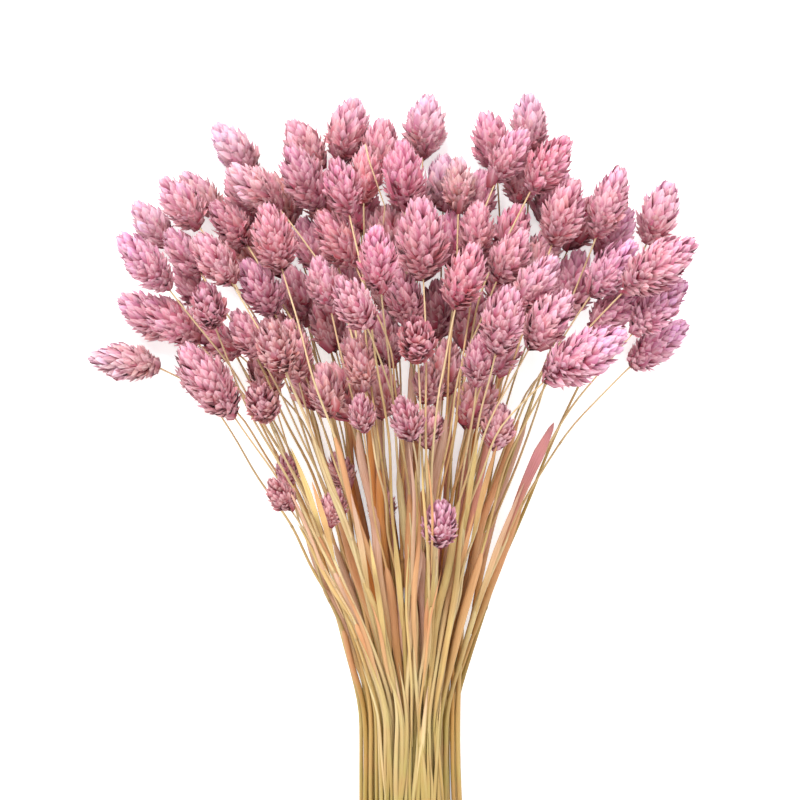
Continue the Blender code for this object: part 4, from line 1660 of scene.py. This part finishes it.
@dataclass
class Strip:
    """An old sheath that has come loose: a thin curved strip that lies over the straws."""

    straw: Straw
    pile: Pile
    draw: np.random.Generator
    half_width: float = field(init=False)
    start: float = field(init=False)
    length: float = field(init=False)
    half_widths: tuple[float, float] = (0.0006, 0.0014)
    starts: tuple[float, float] = (-0.55, 0.30)
    lengths: tuple[float, float] = (0.045, 0.110)
    thickness: float = 0.0003
    last_share: float = 0.86
    offset: float = 0.003
    slant: float = 0.006
    bend: float = 0.0005
    bend_pace: float = 5.0
    bend_phases: tuple[float, float] = (0.0, 6.0)
    bed_share: float = 0.7
    bed_radius: float = 0.0004
    pulls: int = 80
    columns: tuple[float, ...] = (-1.0, -0.6, 0.0, 0.6, 1.0)
    droop: float = 0.45
    foot_cut: float = 0.04
    tip_cut: float = 0.01
    foot_lean: float = 0.9
    fullness: float = 0.75
    strengths: tuple[float, float] = (0.86, 1.04)
    foot_share: float = 0.7
    grain_shift: tuple[float, float] = (60.0, 300.0)

    def __post_init__(self) -> None:
        """Draws the strip's breadth, place and length."""
        fan_length = float(self.straw.route.run[-1]) - self.straw.neck_run
        self.half_width = float(self.draw.uniform(*self.half_widths))
        self.start = self.straw.neck_run + fan_length * float(self.draw.uniform(*self.starts))
        self.length = float(self.draw.uniform(*self.lengths))

    def line(self, share: np.ndarray) -> np.ndarray:
        """The strip's middle line, drawn tight over what it lies on.

        Args:
            share: the shares of its length.

        Returns:
            The points from its foot to its tip.
        """
        draw = self.draw
        last = float(self.straw.route.run[-1]) * self.last_share
        points, side, _ = self.straw.route.at(np.minimum(self.start + share * self.length, last))
        drift = float(draw.uniform(-self.offset, self.offset))
        drift = drift + float(draw.uniform(-self.slant, self.slant)) * share
        phase = float(draw.uniform(*self.bend_phases))
        drift = drift + self.bend * np.sin(share * self.bend_pace + phase)
        points = points + side * drift[:, None]
        reach = self.half_width * self.bed_share
        under = [
            max(
                self.pile.needed(Vector(point + right * way), self.bed_radius, self.bed_radius)
                for way in (-reach, 0.0, reach)
            )
            for point, right in zip(points, side)
        ]
        points[:, 2] = drawn_tight(np.array(under), self.pulls)
        return points

    def build(self, skin: Skin) -> None:
        """Adds the strip to a skin.

        Args:
            skin: the skin of the spray's stems.
        """
        draw = self.draw
        share = np.linspace(0.0, 1.0, STRIP_STATIONS)
        route = Route(self.line(share))
        swell = (self.foot_cut + (1 - self.foot_cut - self.tip_cut) * share) ** self.foot_lean
        half = self.half_width * np.sin(np.pi * swell) ** self.fullness
        columns = np.array(self.columns)
        dip = -self.droop * self.half_width * columns**2
        grid = thin_sheet(route, half[:, None] * columns, dip[None, :], self.thickness)
        own = linear(pick(draw, STRIP_TONES).value) * float(draw.uniform(*self.strengths))
        runs = self.start + share * self.length
        foot = self.straw.plain_tones(runs)
        green = np.clip((STRIP_GREEN_RUN - runs) / STRIP_GREEN_FADE, 0.0, 1.0)
        low = np.maximum(np.clip(self.foot_share - share, 0.0, 1.0), green)[:, None]
        chance = float(draw.uniform())
        both = np.concatenate([columns, columns[::-1]])[::-1]
        marks = Marks(
            share=share,
            edge=np.abs(both),
            chance=chance,
            across=both * self.half_width * TO_MM + chance * self.grain_shift[0],
            along=route.run * TO_MM + chance * self.grain_shift[1],
        )
        skin.sleeve(grid, blend(own, foot, low), marks)


@dataclass
class Blade:
    """A narrow pointed leaf, folded a little along its middle. The first leaf is broad and dyed."""

    leaf: Leaf
    draw: np.random.Generator
    thickness: float = 0.00035
    fold: float = 0.0007
    flatness: float = 0.9
    stations: int = 22
    line_rounding: int = 4
    narrowing: float = 0.70
    tip_half_width: float = 0.00015
    columns: tuple[float, ...] = (-1.0, -0.55, 0.0, 0.55, 1.0)
    dyed_fade: float = 1.6
    plain_fade: float = 1.1
    grain_shift: float = 30.0

    def build(self, skin: Skin) -> None:
        """Adds the blade to a skin.

        Args:
            skin: the skin of the spray's stems.
        """
        knots = np.array([tuple(point) for point in self.leaf.points])
        steps = run_along(knots)
        share = np.linspace(0.0, 1.0, self.stations)
        line = on_line(share, steps / steps[-1], knots)
        round_off(line, self.line_rounding)
        dyed = self.leaf.row == LEAVES[0]
        shape = PINK_LEAF_WIDTHS if dyed else LEAF_WIDTHS
        half = self.leaf.width / 2 * np.interp(share, np.linspace(0, 1, len(shape)), shape)
        half = half * (1.0 if dyed else self.narrowing)
        half[-1] = self.tip_half_width
        columns = np.array(self.columns)
        lift = self.fold * np.abs(columns) * self.flatness
        lift = lift[None, :] * np.sin(np.pi * share)[:, None]
        grid = thin_sheet(Route(line), half[:, None] * columns, lift, self.thickness)
        own = linear((StrawTone.DYED_PINK if dyed else pick(self.draw, BLADE_TONES)).value)
        foot = linear((StrawTone.PEACH if dyed else StrawTone.STRAW).value)
        low = np.clip(1 - share * (self.dyed_fade if dyed else self.plain_fade), 0.0, 1.0)[:, None]
        chance = float(self.draw.uniform())
        both = np.concatenate([columns, columns[::-1]])[::-1]
        marks = Marks(
            share=share,
            edge=np.abs(both),
            chance=chance,
            across=both * self.leaf.width * (TO_MM / 2) + chance * self.grain_shift,
            along=share * steps[-1] * TO_MM,
        )
        skin.sleeve(grid, blend(own, foot, low), marks)


@dataclass
class StrayStalk:
    """A thin, kinked stalk that lies over the heads."""

    pile: Pile
    tone: StrawTone = StrawTone.CREAM
    pulls: int = 120
    tip_share: float = 0.7
    end_share: float = 0.05
    first_share: float = 0.6

    def build(self, skin: Skin) -> None:
        """Adds the stalk to a skin.

        Args:
            skin: the skin of the spray's stems.
        """
        knots = np.array([(x * MM, y * MM, 0.0) for x, y in STRAY_STALK])
        steps = run_along(knots)
        fine = np.linspace(0.0, steps[-1], STRAY_STATIONS)
        line = on_line(fine, steps, knots)
        under = np.array([self.pile.needed(Vector(point), STRAY_RADIUS, STRAY_RADIUS) for point in line])
        under = np.maximum(under, under.max() - STRAY_DIP)
        line[:, 2] = drawn_tight(under, self.pulls) + STRAY_LIFT
        route = Route(line)
        radii = np.linspace(1.0, self.tip_share, STRAY_STATIONS) * STRAY_RADIUS
        radii[0] = radii[-1] = STRAY_RADIUS * self.end_share
        marks = Marks(
            share=np.linspace(self.first_share, 1.0, STRAY_STATIONS),
            edge=np.zeros(STRAW_SIDES),
            chance=0.0,
            across=round_grain(STRAW_SIDES),
            along=fine * TO_MM,
        )
        skin.sleeve(tube(line, route.side, route.up, radii), linear(self.tone.value), marks)


Fed = bpy.types.NodeSocket | float | tuple[float, float, float, float]
Sockets = dict[str, bpy.types.NodeSocket]

# A Mix node's sockets for colours: the factor, the two colours and the result.
MIX_SLOTS = (0, 6, 7)
MIX_RESULT = 2


@dataclass
class Wiring:
    """A node tree in the making."""

    tree: bpy.types.NodeTree

    def add(self, kind: str, **settings: object) -> bpy.types.Node:
        """Adds a node.

        Args:
            kind: the node's type.
            settings: attributes of the node to set.

        Returns:
            The node.
        """
        node = self.tree.nodes.new(kind)
        for name, value in settings.items():
            setattr(node, name, value)
        return node

    def join(self, source: bpy.types.NodeSocket, target: bpy.types.NodeSocket) -> None:
        """Links an output to an input."""
        self.tree.links.new(source, target)

    def feed(self, slot: bpy.types.NodeSocket, value: Fed) -> None:
        """Feeds an input with an output or with a value of its own.

        Args:
            slot: the input.
            value: an output to link, or the input's value.
        """
        if isinstance(value, bpy.types.NodeSocket):
            self.join(value, slot)
        else:
            slot.default_value = value

    def split(self, vector: bpy.types.NodeSocket) -> bpy.types.NodeOutputs:
        """Adds a node that splits a vector.

        Args:
            vector: the vector.

        Returns:
            Its three parts.
        """
        node = self.add("ShaderNodeSeparateXYZ")
        self.join(vector, node.inputs[0])
        return node.outputs

    def ramp(self, value: bpy.types.NodeSocket, span: tuple[float, float]) -> bpy.types.NodeSocket:
        """Adds a mask that rises from 0 to 1 over a span of a value.

        Args:
            value: the value.
            span: where the rise starts and ends.

        Returns:
            The mask.
        """
        node = self.add("ShaderNodeMapRange")
        node.inputs["From Min"].default_value, node.inputs["From Max"].default_value = span
        self.join(value, node.inputs["Value"])
        return node.outputs[0]

    def effect(self, tree: bpy.types.NodeTree, **values: Fed) -> bpy.types.NodeOutputs:
        """Places a shared effect.

        Args:
            tree: the node group.
            values: what feeds its inputs, by their names with underscores for spaces.

        Returns:
            Its outputs.
        """
        node = self.add("ShaderNodeGroup", node_tree=tree)
        for label, value in values.items():
            self.feed(node.inputs[label.replace("_", " ")], value)
        return node.outputs

    def maths(self, operation: str, *values: Fed) -> bpy.types.NodeSocket:
        """Adds a Math node.

        Args:
            operation: the operation's name.
            values: sockets or numbers for its inputs.

        Returns:
            Its output.
        """
        node = self.add("ShaderNodeMath", operation=operation)
        for slot, value in zip(node.inputs, values):
            self.feed(slot, value)
        return node.outputs[0]

    def mix(self, factor: Fed, one: Fed, other: Fed) -> bpy.types.NodeSocket:
        """Adds a Mix node for colours.

        Args:
            factor: the share of the second colour.
            one: the first colour.
            other: the second colour.

        Returns:
            The mixed colour.
        """
        node = self.add("ShaderNodeMix", data_type="RGBA", blend_type="MIX")
        for slot, value in zip(MIX_SLOTS, (factor, one, other)):
            self.feed(node.inputs[slot], value)
        return node.outputs[MIX_RESULT]


def opaque(colour: tuple[float, float, float]) -> tuple[float, float, float, float]:
    """Turns sRGB bytes into a linear colour for a socket."""
    red, green, blue = (float(value) for value in linear(colour))
    return (red, green, blue, 1.0)


def new_group(
    name: str, inputs: dict[str, str], outputs: dict[str, str]
) -> tuple[Wiring, Sockets, Sockets]:
    """Starts a node group with named sockets.

    Args:
        name: the group's name.
        inputs: the inputs' names and socket types.
        outputs: the outputs' names and socket types.

    Returns:
        The wiring, the group's inputs by name and the output node's inputs by name.
    """
    tree = bpy.data.node_groups.new(name, "ShaderNodeTree")
    for label, kind in inputs.items():
        tree.interface.new_socket(label, in_out="INPUT", socket_type=kind)
    for label, kind in outputs.items():
        tree.interface.new_socket(label, in_out="OUTPUT", socket_type=kind)
    wiring = Wiring(tree)
    start = wiring.add("NodeGroupInput")
    end = wiring.add("NodeGroupOutput")
    return wiring, {k: start.outputs[k] for k in inputs}, {k: end.inputs[k] for k in outputs}


def fibre_group() -> bpy.types.NodeTree:
    """Fine fibres that run along a straw or a husk.

    Returns:
        A group with a height and a mask of the deeper lines.
    """
    wiring, given, out = new_group(
        "dry_fibre",
        {"Grain": "NodeSocketVector", "Lines": "NodeSocketFloat", "Stretch": "NodeSocketFloat"},
        {"Height": "NodeSocketFloat", "Lines Mask": "NodeSocketFloat"},
    )
    across, along_fibre, _ = wiring.split(given["Grain"])
    joined = wiring.add("ShaderNodeCombineXYZ")
    wiring.join(wiring.maths("MULTIPLY", across, given["Lines"]), joined.inputs[0])
    wiring.join(wiring.maths("MULTIPLY", along_fibre, given["Stretch"]), joined.inputs[1])
    noise = wiring.add("ShaderNodeTexNoise", noise_dimensions="2D")
    noise.inputs["Scale"].default_value = 1.0
    noise.inputs["Detail"].default_value = FIBRE_DETAIL
    noise.inputs["Roughness"].default_value = FIBRE_ROUGHNESS
    wiring.join(joined.outputs[0], noise.inputs["Vector"])
    wiring.join(noise.outputs[0], out["Height"])
    wiring.join(wiring.ramp(noise.outputs[0], FIBRE_SPAN), out["Lines Mask"])
    return wiring.tree


def uneven_dye_group() -> bpy.types.NodeTree:
    """Dye that took unevenly: soft patches of a second colour.

    Returns:
        A group with the mottled colour and the patches' mask.
    """
    wiring, given, out = new_group(
        "uneven_dye",
        {
            "Colour": "NodeSocketColor",
            "Second Colour": "NodeSocketColor",
            "Patches": "NodeSocketFloat",
            "Amount": "NodeSocketFloat",
        },
        {"Colour": "NodeSocketColor", "Mask": "NodeSocketFloat"},
    )
    place = wiring.add("ShaderNodeTexCoord")
    noise = wiring.add("ShaderNodeTexNoise", noise_dimensions="3D")
    noise.inputs["Detail"].default_value = DYE_DETAIL
    wiring.join(place.outputs["Object"], noise.inputs["Vector"])
    wiring.join(given["Patches"], noise.inputs["Scale"])
    mask = wiring.maths("MULTIPLY", wiring.ramp(noise.outputs[0], DYE_SPAN), given["Amount"])
    wiring.join(wiring.mix(mask, given["Colour"], given["Second Colour"]), out["Colour"])
    wiring.join(mask, out["Mask"])
    return wiring.tree


def pale_rim_and_painted_highlight_group() -> bpy.types.NodeTree:
    """Pale keels, edges and tips: partly the husks' and leaves' own paler margins, partly a painted
    highlight on the ridges and tips.

    Returns:
        A group with the mask of the pale rim.
    """
    wiring, given, out = new_group(
        "pale_rim_and_painted_highlight",
        {"Place": "NodeSocketVector", "Narrowness": "NodeSocketFloat", "Amount": "NodeSocketFloat"},
        {"Rim Mask": "NodeSocketFloat"},
    )
    share, edge, _ = wiring.split(given["Place"])
    rim = wiring.maths("POWER", edge, given["Narrowness"])
    tip = wiring.maths("POWER", share, RIM_TIP_POWER)
    both = wiring.maths("MAXIMUM", rim, wiring.maths("MULTIPLY", tip, RIM_TIP_SHARE))
    outer = wiring.maths("MULTIPLY", both, wiring.maths("POWER", share, RIM_RISE_POWER))
    wiring.join(wiring.maths("MULTIPLY", outer, given["Amount"]), out["Rim Mask"])
    return wiring.tree


@dataclass(frozen=True)
class SharedEffects:
    """The node groups that more than one finish uses."""

    fibre: bpy.types.NodeTree
    dye: bpy.types.NodeTree
    rim: bpy.types.NodeTree


@dataclass(frozen=True)
class DryFinish:
    """A dry plant surface: its own tone, mottled, darker at the foot in painted shade, with fibres and a
    pale rim that is partly painted highlight.
    """

    name: str
    second_colour: tuple[float, float, float]
    rim_and_highlight_colour: tuple[float, float, float]
    fibre_and_painted_shade_colour: tuple[float, float, float]
    patches: float
    patch_amount: float
    lines: float
    stretch: float
    line_shade: float
    rim_and_highlight_amount: float
    painted_shade_amount: float
    roughness: float
    bump: float
    sheen: float
    rim_narrowness: float = 2.4
    painted_shade_power: float = 1.8
    roughness_range: float = 0.24
    bump_distance: float = 0.0003
    gloss: float = 0.28
    sheen_roughness: float = 0.5

    def build(self, effects: SharedEffects) -> bpy.types.Material:
        """Makes the material.

        Args:
            effects: the shared node groups.

        Returns:
            The material.
        """
        made = bpy.data.materials.new(self.name)
        made.use_nodes = True
        wiring = Wiring(made.node_tree)
        shader = made.node_tree.nodes["Principled BSDF"]
        tone = wiring.add("ShaderNodeAttribute", attribute_name="tone")
        place = wiring.add("ShaderNodeAttribute", attribute_name="place")
        grain = wiring.add("ShaderNodeUVMap", uv_map="grain")
        dye = wiring.effect(
            effects.dye,
            Colour=tone.outputs["Color"],
            Second_Colour=opaque(self.second_colour),
            Patches=self.patches,
            Amount=self.patch_amount,
        )
        fibre = wiring.effect(
            effects.fibre, Grain=grain.outputs[0], Lines=self.lines, Stretch=self.stretch
        )
        rim = wiring.effect(
            effects.rim,
            Place=place.outputs["Vector"],
            Narrowness=self.rim_narrowness,
            Amount=self.rim_and_highlight_amount,
        )
        share, _, _ = wiring.split(place.outputs["Vector"])
        # Painted shade: darker towards each piece's foot, where the husks tuck under their neighbours.
        foot = wiring.maths("POWER", wiring.maths("SUBTRACT", 1.0, share), self.painted_shade_power)
        deep = wiring.maths("MULTIPLY", foot, self.painted_shade_amount)
        colour = wiring.mix(deep, dye["Colour"], opaque(self.fibre_and_painted_shade_colour))
        lined = wiring.maths("MULTIPLY", fibre["Lines Mask"], self.line_shade)
        shade = wiring.maths("SUBTRACT", self.line_shade, lined)
        colour = wiring.mix(shade, colour, opaque(self.fibre_and_painted_shade_colour))
        # Pale keels, rims and tips: partly own colour, partly painted highlight.
        colour = wiring.mix(rim["Rim Mask"], colour, opaque(self.rim_and_highlight_colour))
        wiring.join(colour, shader.inputs["Base Color"])
        smoothest = self.roughness - self.roughness_range / 2
        rough = wiring.maths("MULTIPLY_ADD", fibre["Height"], self.roughness_range, smoothest)
        wiring.join(rough, shader.inputs["Roughness"])
        bump = wiring.add("ShaderNodeBump")
        bump.inputs["Strength"].default_value = self.bump
        bump.inputs["Distance"].default_value = self.bump_distance
        wiring.join(fibre["Height"], bump.inputs["Height"])
        wiring.join(bump.outputs[0], shader.inputs["Normal"])
        shader.inputs["Specular IOR Level"].default_value = self.gloss
        shader.inputs["Sheen Weight"].default_value = self.sheen
        shader.inputs["Sheen Roughness"].default_value = self.sheen_roughness
        return made


# The husks' deep colour at their feet is painted shade where they tuck under each other; their fibre lines
# take the same colour.
HUSK_FINISH = DryFinish(
    name="dyed_papery_husk",
    second_colour=(214, 132, 176),
    rim_and_highlight_colour=(255, 228, 230),
    fibre_and_painted_shade_colour=(150, 32, 54),
    patches=120.0,
    patch_amount=0.40,
    lines=2.2,
    stretch=0.25,
    line_shade=0.16,
    rim_and_highlight_amount=0.62,
    painted_shade_amount=0.85,
    roughness=0.62,
    bump=0.35,
    sheen=0.30,
)
STRAW_FINISH = DryFinish(
    name="dried_straw",
    second_colour=(212, 146, 108),
    rim_and_highlight_colour=(232, 212, 166),
    fibre_and_painted_shade_colour=(150, 88, 26),
    patches=60.0,
    patch_amount=0.26,
    lines=4.0,
    stretch=0.05,
    line_shade=0.34,
    rim_and_highlight_amount=0.12,
    painted_shade_amount=0.10,
    roughness=0.52,
    bump=0.45,
    sheen=0.05,
)


@dataclass(frozen=True)
class FloorFinish:
    """A plain pale matt floor."""

    colour: tuple[float, float, float] = (250, 249, 248)
    roughness: float = 0.85
    glow: float = 0.55
    gloss: float = 0.1
    cloud_scale: float = 40.0
    cloud_shade: float = 0.995

    def build(self) -> bpy.types.Material:
        """Makes the floor's material.

        Returns:
            The material.
        """
        made = bpy.data.materials.new("pale_floor")
        made.use_nodes = True
        wiring = Wiring(made.node_tree)
        shader = made.node_tree.nodes["Principled BSDF"]
        noise = wiring.add("ShaderNodeTexNoise")
        noise.inputs["Scale"].default_value = self.cloud_scale
        lighter = opaque(self.colour)
        darker = opaque(tuple(value * self.cloud_shade for value in self.colour))
        wiring.join(wiring.mix(noise.outputs[0], lighter, darker), shader.inputs["Base Color"])
        shader.inputs["Roughness"].default_value = self.roughness
        shader.inputs["Specular IOR Level"].default_value = self.gloss
        shader.inputs["Emission Color"].default_value = (1.0, 1.0, 1.0, 1.0)
        path = wiring.add("ShaderNodeLightPath")
        seen = wiring.maths("MULTIPLY", path.outputs["Is Camera Ray"], self.glow)
        wiring.join(seen, shader.inputs["Emission Strength"])
        return made


@dataclass
class Spray:
    """Two neighbouring culms, dressed as one piece of heads and one of stems."""

    number: int
    culms: list[Culm]
    pile: Pile
    husk: bpy.types.Material
    straw: bpy.types.Material
    draw: np.random.Generator

    def build(self) -> list[bpy.types.Object]:
        """Builds and dresses both pieces.

        Returns:
            The heads' piece and the stems' piece.
        """
        heads, stems = Skin(), Skin()
        for culm in self.culms:
            SeedHead(culm.head, self.draw).build(heads)
            straw = Straw(culm, self.draw)
            straw.build(stems)
            if self.draw.uniform() < SHEATH_CHANCE:
                Sheath(straw, self.draw).build(stems)
            if culm.head.tier is Tier.TOP:
                for _ in range(STRIPS_PER_TOP_CULM):
                    Strip(straw, self.pile, self.draw).build(stems)
            for leaf in culm.leaves:
                Blade(leaf, self.draw).build(stems)
            if culm.head.row[:2] == STRAY_HEAD:
                StrayStalk(self.pile).build(stems)
        node = f"spray_{self.number:02d}"
        made = [
            self.dress(heads.piece(f"heads_{self.number:02d}", self.husk), node),
            self.dress(stems.piece(f"stems_{self.number:02d}", self.straw), node),
        ]
        for piece in made:
            log.info("%s: %d faces", piece.name, len(piece.data.polygons))
        return made

    def dress(self, piece: bpy.types.Object, node: str) -> bpy.types.Object:
        """Ties a piece to the frame.

        Args:
            piece: the finished piece.
            node: the solid it stands for.

        Returns:
            The piece.
        """
        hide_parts(node)
        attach(piece, "root")
        return piece


@dataclass(frozen=True)
class SoftLamp:
    """A sun lamp with a wide, soft disc. Its spread and its lean about x and y are in degrees."""

    name: str
    strength: float
    spread: float
    lean: tuple[float, float]

    def build(self) -> None:
        """Hangs the lamp."""
        lamp = bpy.data.lights.new(self.name, "SUN")
        lamp.energy = self.strength
        lamp.angle = math.radians(self.spread)
        holder = bpy.data.objects.new(self.name, lamp)
        holder.rotation_euler = (math.radians(self.lean[0]), math.radians(self.lean[1]), 0.0)
        bpy.context.scene.collection.objects.link(holder)


@dataclass
class Studio:
    """The floor, the soft light and the camera over the bunch."""

    middle: tuple[float, float] = (NECK_X - 0.0050, NECK_Y + 0.1555)
    breadth: float = 0.400
    distance: float = 3.6
    aim_height: float = 0.045
    floor_size: float = 30.0
    world_strength: float = 0.90
    sensor_width: float = 36.0
    sight: float = 50.0
    lamps: tuple[SoftLamp, ...] = (
        SoftLamp("key_light", 2.7, 28.0, (-38.0, -16.0)),
        SoftLamp("fill_light", 0.35, 60.0, (20.0, 24.0)),
    )

    def build(self) -> None:
        """Builds everything round the bunch."""
        self.build_floor()
        self.build_light()
        self.build_camera()

    def build_floor(self) -> None:
        """Lays the floor."""
        half = self.floor_size / 2
        mesh = bpy.data.meshes.new("studio_floor")
        corners = [(-half, -half, 0.0), (half, -half, 0.0), (half, half, 0.0), (-half, half, 0.0)]
        mesh.from_pydata(corners, [], [(0, 1, 2, 3)])
        mesh.materials.append(FloorFinish().build())
        floor = bpy.data.objects.new("studio_floor", mesh)
        bpy.context.scene.collection.objects.link(floor)

    def build_light(self) -> None:
        """Sets the pale surroundings and two soft lamps."""
        world = bpy.data.worlds.new("soft_studio")
        bpy.context.scene.world = world
        world.use_nodes = True
        sky = world.node_tree.nodes["Background"]
        sky.inputs["Color"].default_value = (1.0, 1.0, 1.0, 1.0)
        sky.inputs["Strength"].default_value = self.world_strength
        for lamp in self.lamps:
            lamp.build()

    def build_camera(self) -> None:
        """Hangs the camera over the bunch, with the stems running out at the lower edge."""
        data = bpy.data.cameras.new("camera")
        data.sensor_width = self.sensor_width
        data.lens = data.sensor_width * (self.distance - self.aim_height) / self.breadth
        data.clip_end = self.sight
        camera = bpy.data.objects.new("camera", data)
        camera.location = (*self.middle, self.distance)
        bpy.context.scene.collection.objects.link(camera)
        bpy.context.scene.camera = camera
        bpy.context.scene.view_settings.view_transform = "Standard"


def main() -> None:
    """Builds the studio, lays the bunch and dresses it spray by spray."""
    logging.basicConfig(level=logging.INFO, format="%(name)s: %(message)s")
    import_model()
    Studio().build()
    effects = SharedEffects(fibre_group(), uneven_dye_group(), pale_rim_and_painted_highlight_group())
    husk = HUSK_FINISH.build(effects)
    straw = STRAW_FINISH.build(effects)
    bunch = Bunch()
    culms = bunch.lay()
    log.info("%d culms laid", len(culms))
    for number in range(1, len(culms) // 2 + 1):
        draw = np.random.default_rng(LOOKS_SEED + number)
        Spray(number, culms[2 * number - 2 : 2 * number], bunch.pile, husk, straw, draw).build()


if __name__ == "__main__":
    main()
